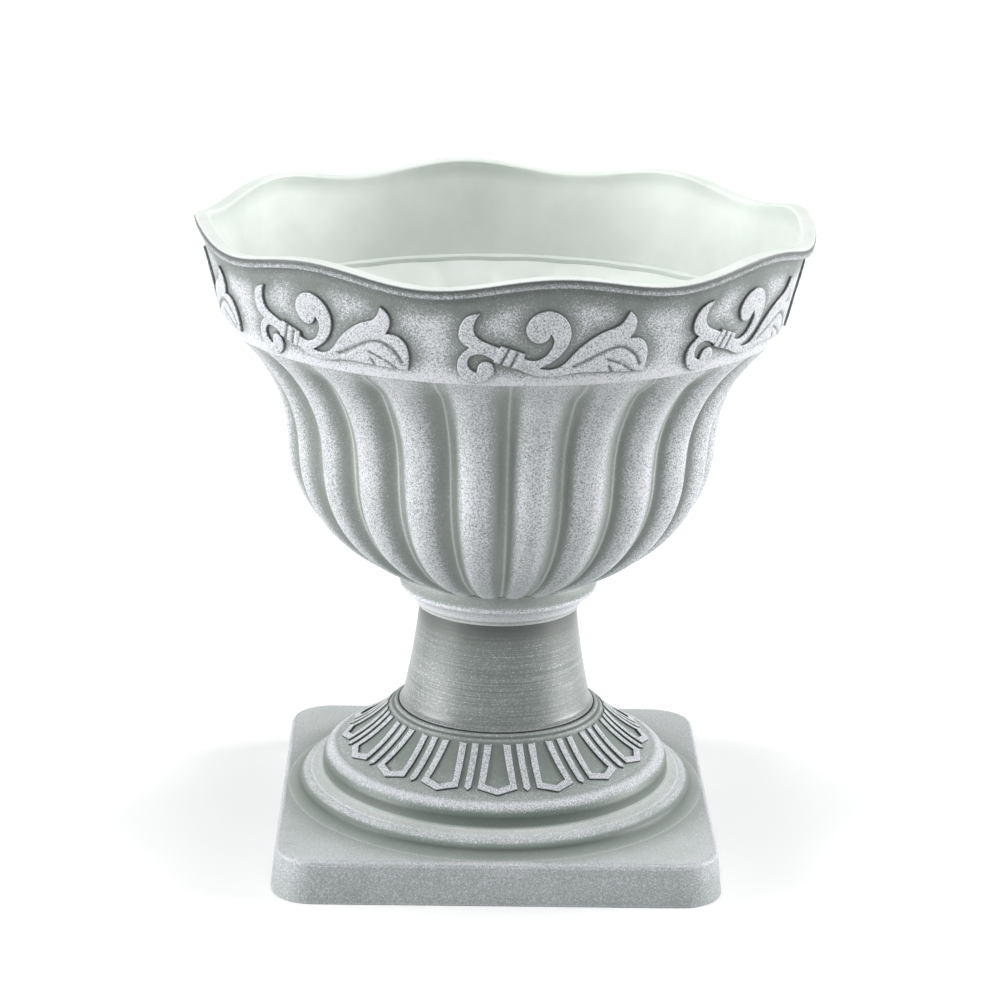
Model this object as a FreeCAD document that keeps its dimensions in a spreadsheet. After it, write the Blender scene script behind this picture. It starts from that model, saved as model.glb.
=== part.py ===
"""Urn planter: a fluted bowl with a wavy rolled rim on a turned stem and a square base.

Millimetres, +Z up. The origin is on the floor, on the axis of the urn, and the plinth's sides
are square to X and Y. The front is towards -Y. Angles go from the front towards +X.
"""
import FreeCAD, Part
import math
import os
import re
import Sketcher
from FreeCAD import Placement, Rotation, Vector

doc = FreeCAD.newDocument("urn_planter")
sheet = doc.addObject("Spreadsheet::Sheet", "sizes")

UP = Vector(0, 0, 1)
AXIS = Vector(0, 0, 0)

SIZES = [
    # walls and clearances
    ("wall", 3.0, "moulded wall of the bowl, stem and base"),
    ("fit_gap", 0.3, "radial gap of a spigot in its socket"),
    ("plug_gap", 0.2, "radial gap of a drain plug in its hole"),
    ("thread_gap", 0.05, "radial gap left round a thread"),
    # square plinth
    ("plinth_side", 248.0, "side of the plinth on the floor"),
    ("plinth_height", 24.0, "top of the square slab"),
    ("plinth_corner", 24.0, "radius of the slab's upright corners"),
    ("plinth_draft", 2.4, "how far each side leans in over the slab's height"),
    # turned mouldings of the base
    ("cove_radius", 117.5, "foot of the mouldings on the slab"),
    ("lower_ring_radius", 112.4, "outside of the lower moulding"),
    ("lower_ring_height", 33.3, "top of the lower moulding"),
    ("lower_ring_round", 8.0, "rounding of the lower moulding"),
    ("ledge_radius", 104.6, "outer edge of the ledge between the mouldings"),
    ("ledge_rise", 1.5, "rise of the ledge to the upper moulding"),
    ("upper_ring_radius", 99.8, "outside of the upper moulding"),
    ("upper_ring_height", 48.2, "top of the upper moulding"),
    ("upper_ring_round", 12.0, "rounding of the upper moulding"),
    ("slope_foot_radius", 90.5, "outer edge of the hollow slope"),
    ("slope_sweep", 85.0, "radius of the hollow slope's curve"),
    ("neck_radius", 59.8, "inner edge of the hollow slope"),
    ("neck_height", 74.3, "seam between base and stem"),
    ("bead_height", 3.6, "bead round the seam"),
    ("bead_round", 3.2, "rounding of the bead"),
    # tongues and darts
    ("tongue_count", 16.0, "tongues round the slope, with as many darts between them"),
    ("tongue_height", 1.7, "how far the tongues and darts stand proud"),
    ("tongue_start", 61.0, "radius where the bars start"),
    ("tongue_corner", 83.5, "radius of the tongue's lower corners"),
    ("tongue_tip", 88.0, "radius of the tongue's point"),
    ("tongue_bar", 4.2, "width of a tongue's bar"),
    ("tongue_half_top", 7.2, "half width of the tongue at its open end"),
    ("tongue_half_foot", 11.0, "half width of the tongue at its corners"),
    ("dart_half", 1.9, "half width of a dart"),
    ("dart_tip", 85.5, "radius of a dart's point"),
    # stem
    ("stem_height", 59.7, "from the seam to the bowl"),
    ("stem_top_radius", 44.5, "outside under the bowl"),
    ("stem_waist_radius", 53.4, "outside above the foot's flare"),
    ("stem_foot_radius", 55.6, "outside at the seam"),
    ("stem_flare_height", 3.6, "height of the foot's flare"),
    ("stem_flare_round", 5.0, "radius of the foot's flare"),
    ("stem_sweep", 480.0, "radius of the stem's slow curve"),
    ("spigot_radius", 52.5, "spigot that stands in the base"),
    ("spigot_length", 12.3, "depth of the spigot in the base"),
    ("shelf_opening", 38.0, "radius of the opening in the base's shelf"),
    ("bridge_disc_radius", 38.0, "raised disc that centres the bowl"),
    ("bridge_disc_height", 2.2, "height of that disc"),
    ("bridge_recess_depth", 2.5, "recess in the bowl for that disc"),
    # screws of the stem's foot
    ("screw_count", 4.0, "screws up into the stem"),
    ("screw_circle", 45.0, "radius of the screws' circle"),
    ("screw_radius", 1.75, "screw shank"),
    ("screw_length", 14.0, "shank under the head"),
    ("screw_head_radius", 3.6, "screw head"),
    ("screw_head_height", 2.4, "height of the screw head"),
    ("boss_radius", 5.0, "boss in the stem's foot"),
    ("boss_height", 18.0, "height of the boss"),
    # clamp through the bowl's floor
    ("bolt_radius", 3.0, "bolt shank"),
    ("bolt_head_radius", 8.0, "bolt head"),
    ("bolt_head_height", 4.0, "height of the domed head"),
    ("bolt_tail", 3.5, "shank left below the nut"),
    ("slot_width", 1.8, "driver slots"),
    ("slot_depth", 1.4, "depth of the driver slots"),
    ("seal_radius", 13.0, "rubber washer"),
    ("seal_thick", 2.0, "thickness of the rubber washer"),
    ("washer_radius", 9.0, "steel washer"),
    ("washer_thick", 1.6, "thickness of the steel washer"),
    ("nut_radius", 5.5, "boss of the wing nut"),
    ("nut_height", 6.0, "height of the wing nut's boss"),
    ("wing_reach", 14.0, "reach of each wing"),
    ("wing_thick", 2.2, "thickness of a wing"),
    ("wing_height", 9.0, "height of a wing"),
    # drain holes and plugs
    ("drain_count", 3.0, "drain holes in the floor"),
    ("drain_circle", 26.0, "radius of the drain holes' circle"),
    ("drain_radius", 5.5, "drain hole"),
    ("window_radius", 9.0, "window in the stem's bridge under a drain hole"),
    ("plug_head_radius", 8.5, "flange of a drain plug"),
    ("plug_head_thick", 2.0, "thickness of the flange"),
    ("plug_body_length", 9.0, "body under the flange"),
    ("plug_body_taper", 0.5, "how much thinner the body's end is"),
    ("plug_knob_radius", 3.2, "knob to pull the plug by"),
    ("plug_knob_neck", 2.2, "waist under the knob"),
    ("plug_knob_height", 6.0, "height of the knob"),
    # bowl: collar, lobes, frieze wall and rim, with heights from the bowl's underside
    ("bowl_turn", 8.1, "turn of the bowl's pattern from the plinth's front"),
    ("collar_foot_radius", 46.8, "underside of the collar"),
    ("collar_lip", 2.4, "upright lip of the collar's foot"),
    ("collar_ring_radius", 56.0, "outside of the collar's ring"),
    ("collar_ring_height", 11.4, "height of the ring's widest place"),
    ("collar_cove_radius", 50.4, "cove between the ring and the lobes"),
    ("floor_well_radius", 46.0, "round well over the floor"),
    ("lobe_count", 24.0, "lobes round the bowl"),
    ("lobe_share", 0.76, "share of the pitch that a lobe's crest takes"),
    ("hollow_depth", 7.3, "depth of a hollow at the waist"),
    ("lobe_foot_radius", 52.5, "crest where the lobes end"),
    ("lobe_foot_height", 17.5, "height where the lobes end"),
    ("lobe_low_radius", 79.4, "crest low on the bowl"),
    ("lobe_low_height", 32.0, "height of that place"),
    ("lobe_side_radius", 105.1, "crest below the belly"),
    ("lobe_side_height", 56.0, "height of that place"),
    ("lobe_belly_radius", 117.9, "crest at the belly"),
    ("lobe_belly_height", 84.0, "height of that place"),
    ("lobe_waist_radius", 121.5, "crest where the side turns out"),
    ("lobe_waist_height", 114.0, "height of that place"),
    ("lobe_neck_radius", 133.7, "crest under the ledge's flare"),
    ("lobe_neck_height", 142.0, "height of that place"),
    ("frieze_radius", 153.5, "foot of the frieze wall, at the ledge"),
    ("frieze_foot", 165.0, "height of the ledge"),
    ("frieze_flare", 0.25, "how far the frieze wall leans out, per height"),
    ("wave_count", 8.0, "waves round the rim"),
    ("wave_rise", 3.6, "height of a wave over the mean rim"),
    ("rim_radius", 170.0, "outside of the rolled rim"),
    ("rim_height", 220.8, "mean height of the rim's crown"),
    ("rim_roll", 8.6, "width of the rolled rim"),
    ("rim_edge", 5.5, "height of the rim's outer face"),
    ("rim_round", 2.0, "rounding of the rim's upper edges"),
    ("rim_lean", 0.7, "how far the outer face leans in to its lower edge"),
    ("rim_cove", 4.5, "height of the cove under the rim"),
    ("rim_inner_depth", 7.0, "depth of the rim's inner face"),
    # raised scrolls of the frieze
    ("scroll_count", 8.0, "scrolls round the frieze"),
    ("scroll_proud", 1.7, "how far a scroll stands proud"),
    ("scroll_scale", 1.0, "size of a scroll against its drawing"),
]

for row, (name, number, note) in enumerate(SIZES, start=1):
    sheet.set(f"A{row}", name)
    sheet.set(f"B{row}", str(number))
    sheet.set(f"C{row}", note)
    sheet.setAlias(f"B{row}", name)
doc.recompute()

ALIASES = {name for name, number, note in SIZES}


def tie(expression):
    """The expression with each size's name turned into a reference to the sheet."""
    return re.sub(r"[a-z_]+", lambda word: f"sizes.{word[0]}" if word[0] in ALIASES else word[0],
                  expression)


def worth(expression):
    """What an expression on the sheet's sizes comes to now."""
    return float(sheet.evalExpression(tie(expression)))


def size(name):
    return float(getattr(sheet, name))


def around(radius, angle, height=0.0):
    """A point at an angle in radians from the front."""
    return Vector(radius * math.sin(angle), -radius * math.cos(angle), height)


def turned_copies(shape, count, half_step=False):
    """The same shape, count times round the axis."""
    step = 360.0 / count
    start = step / 2 if half_step else 0.0
    copies = []
    for index in range(count):
        copy = shape.copy()
        copy.rotate(AXIS, UP, start + index * step)
        copies.append(copy)
    return copies


# ---- sketches tied to the sheet ---------------------------------------------------------------

def plane_of(body, role):
    return next(feature for feature in body.Origin.OriginFeatures if feature.Role == role)


def arc_between(start, end, radius, turn):
    """The circle arc from start to end as the sketcher stores it, and whether it runs backwards.

    turn is +1 where the arc goes counter-clockwise from start to end, and -1 clockwise.
    """
    chord = end - start
    half = chord.Length / 2
    side = Vector(-chord.y, chord.x, 0).normalize()
    centre = (start + end) / 2 + side * (turn * math.sqrt(radius * radius - half * half))
    angles = [math.atan2((point - centre).y, (point - centre).x) for point in (start, end)]
    if turn < 0:
        angles.reverse()
    if angles[1] < angles[0]:
        angles[1] += 2 * math.pi
    return Part.ArcOfCircle(Part.Circle(centre, UP, radius), angles[0], angles[1])


def draw(body, name, role, corners):
    """A closed sketch through corners, each given by two expressions.

    A corner may name the radius and the turn of the arc that leaves it: otherwise a line does.
    """
    sketch = body.newObject("Sketcher::SketchObject", name)
    sketch.AttachmentSupport = [(plane_of(body, role), "")]
    sketch.MapMode = "FlatFace"
    points = [Vector(worth(corner[0]), worth(corner[1]), 0) for corner in corners]
    ends = []
    for index, corner in enumerate(corners):
        start, end = points[index], points[(index + 1) % len(points)]
        if len(corner) == 2:
            sketch.addGeometry(Part.LineSegment(start, end))
            ends.append((1, 2))
        else:
            radius, turn = corner[2], corner[3]
            sketch.addGeometry(arc_between(start, end, worth(radius), turn))
            ends.append((1, 2) if turn > 0 else (2, 1))
            number = sketch.addConstraint(Sketcher.Constraint("Radius", index, worth(radius)))
            sketch.setExpression(f"Constraints[{number}]", tie(radius))
    for index, corner in enumerate(corners):
        before = (index - 1) % len(corners)
        sketch.addConstraint(Sketcher.Constraint("Coincident", before, ends[before][1],
                                                 index, ends[index][0]))
        for kind, axis, expression in (("DistanceX", -2, corner[0]), ("DistanceY", -1, corner[1])):
            if expression == "0":
                sketch.addConstraint(Sketcher.Constraint("PointOnObject", index, ends[index][0],
                                                         axis))
            else:
                number = sketch.addConstraint(Sketcher.Constraint(
                    kind, -1, 1, index, ends[index][0], worth(expression)))
                sketch.setExpression(f"Constraints[{number}]", tie(expression))
    return sketch


def turn_up(body, name, corners):
    """Revolve an outline of radius and height round the axis, into the body."""
    sketch = draw(body, name + "_outline", "XZ_Plane", corners)
    revolution = body.newObject("PartDesign::Revolution", name)
    revolution.Profile = sketch
    revolution.ReferenceAxis = (sketch, ["V_Axis"])
    revolution.Angle = 360
    return revolution


def turned_body(name, corners):
    body = doc.addObject("PartDesign::Body", name)
    turn_up(body, name + "_turning", corners)
    return body


def cylinder(name, radius, height, bottom="0", across="0", angle=0.0):
    """A cylinder whose axis stands at a distance across, at an angle in degrees from the front."""
    piece = doc.addObject("Part::Cylinder", name)
    piece.setExpression("Radius", tie(radius))
    piece.setExpression("Height", tie(height))
    place(piece, bottom, across, angle)
    return piece


def place(piece, bottom="0", across="0", angle=0.0):
    piece.setExpression("Placement.Base.x", tie(f"({across}) * {math.sin(math.radians(angle)):.9f}"))
    piece.setExpression("Placement.Base.y", tie(f"({across}) * {-math.cos(math.radians(angle)):.9f}"))
    piece.setExpression("Placement.Base.z", tie(bottom))


def fuse(name, pieces):
    result = doc.addObject("Part::MultiFuse", name)
    result.Shapes = pieces
    return result


def cut(name, base, tool):
    result = doc.addObject("Part::Cut", name)
    result.Base = base
    result.Tool = tool
    return result


def feature(name, shape):
    result = doc.addObject("Part::Feature", name)
    result.Shape = shape
    return result


# ---- plinth: square tray, upside down, open in the middle under the base ------------------------

def slab(body, name, side, height, corner):
    """A square slab whose sides lean in by the plinth's draft, with rounded upright edges."""
    half = f"({side}) / 2"
    sketch = draw(body, name + "_outline", "XY_Plane",
                  [(half, f"-{half}"), (half, half), (f"-{half}", half), (f"-{half}", f"-{half}")])
    pad = body.newObject("PartDesign::Pad", name)
    pad.Profile = sketch
    pad.setExpression("Length", tie(height))
    pad.setExpression("TaperAngle", tie("-atan(plinth_draft / plinth_height)"))
    doc.recompute()
    upright = [f"Edge{number}" for number, edge in enumerate(pad.Shape.Edges, start=1)
               if edge.BoundBox.ZLength > worth(height) / 2]
    rounding = body.newObject("PartDesign::Fillet", name + "_corners")
    rounding.Base = (pad, upright)
    rounding.setExpression("Radius", tie(corner))
    return rounding


plinth_outside = doc.addObject("PartDesign::Body", "plinth_outside")
slab(plinth_outside, "plinth_slab", "plinth_side", "plinth_height", "plinth_corner")
plinth_inside = doc.addObject("PartDesign::Body", "plinth_inside")
slab(plinth_inside, "plinth_hollow", "plinth_side - 2 * wall", "plinth_height - wall",
     "plinth_corner - wall")
plinth = cut("plinth", plinth_outside, fuse("plinth_hollows", [
    plinth_inside,
    cylinder("plinth_opening", "ledge_radius - wall", "wall + 2", "plinth_height - wall - 1"),
]))


# ---- base: two round mouldings, the hollow slope with its tongues, and the neck -----------------

SLOPE_UNDER = "upper_ring_height - 4 - wall"  # where the underside turns from wall to slope

base_outside = turned_body("base_outside", [
    ("0", "plinth_height"),
    ("cove_radius", "plinth_height"),
    ("lower_ring_radius", "plinth_height + 1"),
    ("lower_ring_radius", "lower_ring_height - 6", "lower_ring_round", 1),
    ("ledge_radius", "lower_ring_height"),
    ("upper_ring_radius", "lower_ring_height + ledge_rise"),
    ("upper_ring_radius - 0.8", "upper_ring_height - 6.5", "upper_ring_round", 1),
    ("slope_foot_radius", "upper_ring_height", "slope_sweep", -1),
    ("neck_radius", "neck_height - bead_height"),
    ("neck_radius - 0.8", "neck_height - bead_height", "bead_round", 1),
    ("stem_foot_radius + 0.2", "neck_height"),
    ("0", "neck_height"),
])

base_underside = turned_body("base_underside", [
    ("0", "plinth_height - 1"),
    ("ledge_radius - wall", "plinth_height - 1"),
    ("ledge_radius - wall", "lower_ring_height - wall"),
    ("upper_ring_radius - wall", "lower_ring_height - wall + ledge_rise"),
    ("upper_ring_radius - wall - 1", SLOPE_UNDER),
    ("slope_foot_radius - wall", "upper_ring_height - wall"),
    ("neck_radius + 10", "neck_height - spigot_length - wall"),
    ("0", "neck_height - spigot_length - wall"),
])

base_hollows = fuse("base_hollows", [
    base_underside,
    cylinder("neck_socket", "spigot_radius + fit_gap", "spigot_length + 1",
             "neck_height - spigot_length"),
    cylinder("shelf_hole", "shelf_opening", "spigot_length", "neck_height - spigot_length - wall - 1"),
] + [
    cylinder(f"screw_hole_{index + 1}", "screw_radius + plug_gap", "wall + 2",
             "neck_height - spigot_length - wall - 1", "screw_circle",
             45 + index * 360 / size("screw_count"))
    for index in range(round(size("screw_count")))
])

# Tongues and darts are drawn flat and rise as prisms through a skin that follows the slope.
relief_skin = turned_body("relief_skin", [
    ("slope_foot_radius", "upper_ring_height - 1", "slope_sweep", -1),
    ("neck_radius", "neck_height - bead_height - 1"),
    ("neck_radius + 0.9", "neck_height - bead_height + tongue_height", "slope_sweep", 1),
    ("slope_foot_radius + 0.9", "upper_ring_height + tongue_height"),
])


def prism(body, name, corners):
    sketch = draw(body, name + "_outline", "XY_Plane", corners)
    pad = body.newObject("PartDesign::Pad", name)
    pad.Profile = sketch
    pad.setExpression("Length", tie("neck_height + 10"))
    pad.Refine = False
    return pad


relief_prisms = doc.addObject("PartDesign::Body", "relief_prisms")
relief_prisms.AllowCompound = True
tongue = prism(relief_prisms, "tongue", [
    ("tongue_half_top", "-tongue_start"),
    ("tongue_half_foot", "-tongue_corner"),
    ("0", "-tongue_tip"),
    ("-tongue_half_foot", "-tongue_corner"),
    ("-tongue_half_top", "-tongue_start"),
    ("tongue_bar - tongue_half_top", "-tongue_start"),
    ("tongue_bar - tongue_half_foot", "tongue_bar * 0.6 - tongue_corner"),
    ("0", "tongue_bar - tongue_tip"),
    ("tongue_half_foot - tongue_bar", "tongue_bar * 0.6 - tongue_corner"),
    ("tongue_half_top - tongue_bar", "-tongue_start"),
])
half_pitch = math.pi / size("tongue_count")


def beside(across, along):
    """Expressions of a point on a dart, which stands half a pitch round from a tongue."""
    sine, cosine = math.sin(half_pitch), math.cos(half_pitch)
    return (f"({across}) * {cosine:.9f} + ({along}) * {sine:.9f}",
            f"({across}) * {sine:.9f} - ({along}) * {cosine:.9f}")


dart = prism(relief_prisms, "dart", [
    beside("dart_half", "tongue_start"),
    beside("dart_half", "dart_tip - dart_half"),
    beside("0", "dart_tip"),
    beside("-dart_half", "dart_tip - dart_half"),
    beside("-dart_half", "tongue_start"),
])
relief_ring = relief_prisms.newObject("PartDesign::PolarPattern", "tongue_ring")
relief_ring.Originals = [tongue, dart]
relief_ring.Axis = (plane_of(relief_prisms, "Z_Axis"), [""])
relief_ring.Angle = 360
relief_ring.setExpression("Occurrences", tie("tongue_count"))
relief_prisms.Tip = relief_ring

relief = doc.addObject("Part::Common", "relief")
relief.Base = relief_skin
relief.Tool = relief_prisms
base_moulding = cut("base_moulding", fuse("base_solid", [base_outside, relief]), base_hollows)

# The rings and the slope above them are one moulding, parted here where the underside turns.
ring_space = cylinder("ring_space", "cove_radius + 5", SLOPE_UNDER + " - plinth_height",
                      "plinth_height")
base = cut("base", base_moulding, ring_space)
base_rings = doc.addObject("Part::Common", "base_rings")
base_rings.Base = base_moulding
base_rings.Tool = ring_space


# ---- stem: hollow turned shell with a bridge on top and a spigot and bosses below ---------------

stem_shell = turned_body("stem_shell", [
    ("spigot_radius - wall", "-spigot_length"),
    ("spigot_radius", "-spigot_length"),
    ("spigot_radius", "0"),
    ("stem_foot_radius", "0"),
    ("stem_foot_radius", "0.6", "stem_flare_round", -1),
    ("stem_waist_radius", "stem_flare_height", "stem_sweep", -1),
    ("stem_top_radius", "stem_height"),
    ("bridge_disc_radius", "stem_height"),
    ("bridge_disc_radius", "stem_height + bridge_disc_height"),
    ("0", "stem_height + bridge_disc_height"),
    ("0", "stem_height - wall"),
    ("stem_top_radius - wall", "stem_height - wall"),
    ("spigot_radius - wall", "stem_flare_height"),
])
stem_solid = fuse("stem_solid", [stem_shell] + [
    cylinder(f"screw_boss_{index + 1}", "boss_radius", "boss_height", "-spigot_length",
             "screw_circle", 45 + index * 360 / size("screw_count"))
    for index in range(round(size("screw_count")))
])
stem_holes = fuse("stem_holes", [
    cylinder("bridge_hole", "bolt_radius + fit_gap", "wall + bridge_disc_height + 2",
             "stem_height - wall - 1"),
] + [
    cylinder(f"bridge_window_{index + 1}", "window_radius", "wall + bridge_disc_height + 2",
             "stem_height - wall - 1", "drain_circle",
             size("bowl_turn") + index * 360 / size("drain_count"))
    for index in range(round(size("drain_count")))
] + [
    cylinder(f"boss_pilot_{index + 1}", "screw_radius + thread_gap", "boss_height - 3",
             "-spigot_length - 1", "screw_circle", 45 + index * 360 / size("screw_count"))
    for index in range(round(size("screw_count")))
])
stem = cut("stem", stem_solid, stem_holes)
stem.setExpression("Placement.Base.z", tie("neck_height"))


# ---- bowl: collar and lobes up to the ledge, then the frieze wall with its scrolls and the rim ---

LOBE_STEPS = 12


def lobed_outline(radius, height):
    """Closed outline of the lobes at one height: round crests with a hollow between each two."""
    count = round(size("lobe_count"))
    pitch = 2 * math.pi / count
    reach = pitch * size("lobe_share") / 2
    depth = size("hollow_depth") * radius / size("lobe_waist_radius")
    shoulder = radius - depth * size("lobe_share")
    edges = []
    for index in range(count):
        middle = index * pitch
        start = around(shoulder, middle - reach, height)
        crest = around(radius, middle, height)
        end = around(shoulder, middle + reach, height)
        hollow = around(radius - depth, middle + pitch / 2, height)
        following = around(shoulder, middle + pitch - reach, height)
        edges.append(Part.Arc(start, crest, end).toShape())
        edges.append(Part.Arc(end, hollow, following).toShape())
    return Part.Wire(edges)


def lobe_profile():
    """The crest of a lobe in side view, as one smooth curve of radius and height."""
    places = ["foot", "low", "side", "belly", "waist", "neck"]
    points = [Vector(size(f"lobe_{spot}_radius"), size(f"lobe_{spot}_height"), 0) for spot in places]
    points.append(Vector(size("frieze_radius") - 0.5, size("frieze_foot"), 0))
    curve = Part.BSplineCurve()
    curve.interpolate(points)
    return curve


def crest_points(curve, steps, inset):
    """Points along the crest's side view, moved in by inset square to the surface."""
    points = []
    for step in range(steps + 1):
        share = curve.FirstParameter + (curve.LastParameter - curve.FirstParameter) * step / steps
        along = curve.tangent(share)[0]
        points.append(curve.value(share) + Vector(-along.y, along.x, 0).normalize() * inset)
    return points


def lobed_solid(points):
    return Part.makeLoft([lobed_outline(point.x, point.y) for point in points], True, False)


def rim_section(angle):
    """The frieze wall and rolled rim, cut through the axis at one angle."""
    wall = size("wall")
    foot, foot_radius, flare = size("frieze_foot"), size("frieze_radius"), size("frieze_flare")
    crown = size("rim_height") + size("wave_rise") * math.cos(size("wave_count") * angle)
    outer, inner = size("rim_radius"), size("rim_radius") - size("rim_roll")
    edge, rounding = crown - size("rim_edge"), size("rim_round")
    cove = edge - size("rim_cove")
    cove_radius = foot_radius + flare * (cove - foot)
    edge_radius = outer - size("rim_lean")
    low = crown - size("rim_inner_depth")

    def spot(radius, height):
        return around(radius, angle, height)

    def bend(first, middle, last):
        return Part.Arc(spot(*first), spot(*middle), spot(*last)).toShape()

    shelf = foot_radius * (1 - size("hollow_depth") / size("lobe_waist_radius")) - 2 * wall
    under = (edge_radius - 1.4, edge + 0.3)
    cove_middle = (cove_radius + 0.3 * (under[0] - cove_radius), edge - 1.2)
    outer_top, inner_top = (outer - rounding, crown - 0.15), (inner + rounding, crown - 0.15)
    outer_side, inner_side = (outer, crown - rounding), (inner, crown - rounding)
    share = 0.3 * rounding
    inner_low = (foot_radius - wall + flare * (low - foot), low)
    inner_foot = (foot_radius - wall - 0.1 + flare * wall, foot + wall)
    straight = [(shelf, foot), (foot_radius, foot), (cove_radius, cove)]
    edges = [Part.LineSegment(spot(*start), spot(*end)).toShape()
             for start, end in zip(straight, straight[1:])]
    edges.append(bend((cove_radius, cove), cove_middle, under))
    edges.append(Part.LineSegment(spot(*under), spot(edge_radius, edge)).toShape())
    edges.append(Part.LineSegment(spot(edge_radius, edge), spot(*outer_side)).toShape())
    edges.append(bend(outer_side, (outer - share, crown - share), outer_top))
    edges.append(bend(outer_top, ((outer + inner) / 2, crown), inner_top))
    edges.append(bend(inner_top, (inner + share, crown - share), inner_side))
    straight = [inner_side, inner_low, inner_foot, (shelf, foot + wall), (shelf, foot)]
    edges += [Part.LineSegment(spot(*start), spot(*end)).toShape()
              for start, end in zip(straight, straight[1:])]
    return Part.Wire(edges)


def rim_ring():
    """The whole frieze wall and rim, through four sections for each half wave."""
    count = round(size("wave_count")) * 6
    sections = [rim_section(index * 2 * math.pi / count) for index in range(count)]
    return Part.makeLoft(sections, True, False, True)


def collar_solid():
    """The turned foot of the bowl, up into the ends of the lobes."""
    ring, ring_height = size("collar_ring_radius"), size("collar_ring_height")
    foot, lip = size("collar_foot_radius"), size("collar_lip")
    cove, lobes = size("collar_cove_radius"), size("lobe_foot_height")
    inside = cove - 2.4

    def spot(radius, height):
        return around(radius, 0, height)

    edges = [
        Part.LineSegment(spot(0, 0), spot(foot, 0)).toShape(),
        Part.LineSegment(spot(foot, 0), spot(foot, lip)).toShape(),
        Part.Arc(spot(foot, lip), spot((foot + ring) / 2 + 0.7, (lip + ring_height) / 2 - 0.7),
                 spot(ring, ring_height)).toShape(),
        Part.Arc(spot(ring, ring_height), spot(ring - 0.7, ring_height + 2.8),
                 spot(ring - 2.8, lobes - 1.9)).toShape(),
        Part.Arc(spot(ring - 2.8, lobes - 1.9), spot(cove + 0.8, lobes - 1.3),
                 spot(cove, lobes)).toShape(),
        Part.LineSegment(spot(cove, lobes), spot(inside, lobes + 1.5)).toShape(),
        Part.LineSegment(spot(inside, lobes + 1.5), spot(0, lobes + 1.5)).toShape(),
        Part.LineSegment(spot(0, lobes + 1.5), spot(0, 0)).toShape(),
    ]
    return Part.Face(Part.Wire(edges)).revolve(AXIS, UP, 360)


def bowl_cavity(curve):
    """Everything inside the bowl: the lobed hollow and the round well over the floor."""
    wall = size("wall")
    points = crest_points(curve, LOBE_STEPS, wall)
    while points[-1].y > size("frieze_foot"):
        points.pop()
    points.append(Vector(size("frieze_radius") - wall - 0.5, size("frieze_foot") + wall + 0.5, 0))
    hollow = lobed_solid(points)
    floor = size("bridge_recess_depth") + wall
    well = Part.makeCylinder(size("floor_well_radius"), points[0].y + 1 - floor,
                             Vector(0, 0, floor))
    return [hollow, well]


def floor_holes():
    """The recess for the stem's disc, the bolt's hole and the drain holes."""
    recess = size("bridge_recess_depth")
    depth = recess + size("wall") + 2
    holes = [Part.makeCylinder(size("bridge_disc_radius") + size("fit_gap"), recess + 1,
                               Vector(0, 0, -1)),
             Part.makeCylinder(size("bolt_radius") + size("fit_gap"), depth, Vector(0, 0, -1))]
    drain = Part.makeCylinder(size("drain_radius"), depth,
                              around(size("drain_circle"), 0, -1))
    return holes + turned_copies(drain, round(size("drain_count")))


# One scroll of the frieze, unrolled: millimetres sideways from its middle and up from the ledge.
# Each outline is a ring of smooth stretches that meet in corners.
LEFT_LEAF = [
    [(-37, 40), (-43, 38), (-47.5, 31), (-47, 24.5), (-42.5, 21)],
    [(-42.5, 21), (-47.5, 16), (-49, 10.5), (-46, 3.8), (-40, 1.6), (-33, 3.8), (-30, 9),
     (-32.3, 13.4), (-36.5, 13.2), (-39, 7.5)],
    [(-39, 7.5), (-42.5, 9.5), (-43.5, 14), (-39.5, 17.4), (-28.5, 13.5)],
    [(-28.5, 13.5), (-26, 21)],
    [(-26, 21), (-34, 24), (-39.5, 28), (-40, 34), (-37, 40)],
]
VOLUTE_AND_LEAF = [
    [(-17, 17), (-11.5, 14.6), (-6, 15.6), (-1.5, 20.5), (-0.3, 25.5), (-2, 29)],
    [(-2, 29), (-4, 25.5), (-8, 24), (-13, 27), (-14.5, 32), (-11.3, 38.4), (-4, 41.6), (4, 38),
     (8, 29.5), (6.5, 22), (1, 15), (-7, 10.2)],
    [(-7, 10.2), (-1, 9.6), (5, 12), (10, 17.5), (18, 25), (27, 30), (33, 32.5), (37.5, 39.8)],
    [(37.5, 39.8), (41.5, 35), (41.5, 29.5), (39, 25)],
    [(39, 25), (45, 24.5), (49.5, 20), (50.6, 12), (49.5, 6)],
    [(49.5, 6), (31, 7), (10, 7), (0, 5.4), (-9, 6.2), (-20, 11)],
    [(-20, 11), (-17, 17)],
]
BINDING = [
    [(-30.5, 13.8), (-29, 18), (-26.5, 22.6)],
    [(-26.5, 22.6), (-14.5, 18.4)],
    [(-14.5, 18.4), (-15.8, 14), (-18.5, 9.8)],
    [(-18.5, 9.8), (-30.5, 13.8)],
]
SCROLL_TOP = 42.5


def frieze_at(height_above_ledge):
    return size("frieze_radius") + size("frieze_flare") * height_above_ledge


def skin(proud):
    """A strip that follows the frieze wall at the front, sunk a little into it."""
    low, high = 0.8, SCROLL_TOP * size("scroll_scale")
    foot = size("frieze_foot")
    corners = [around(frieze_at(low) - 0.8, 0, foot + low),
               around(frieze_at(low) + proud, 0, foot + low),
               around(frieze_at(high) + proud, 0, foot + high),
               around(frieze_at(high) - 0.8, 0, foot + high)]
    strip = Part.Face(Part.makePolygon(corners + corners[:1]))
    strip.rotate(AXIS, UP, -25)
    return strip.revolve(AXIS, UP, 50)


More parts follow.
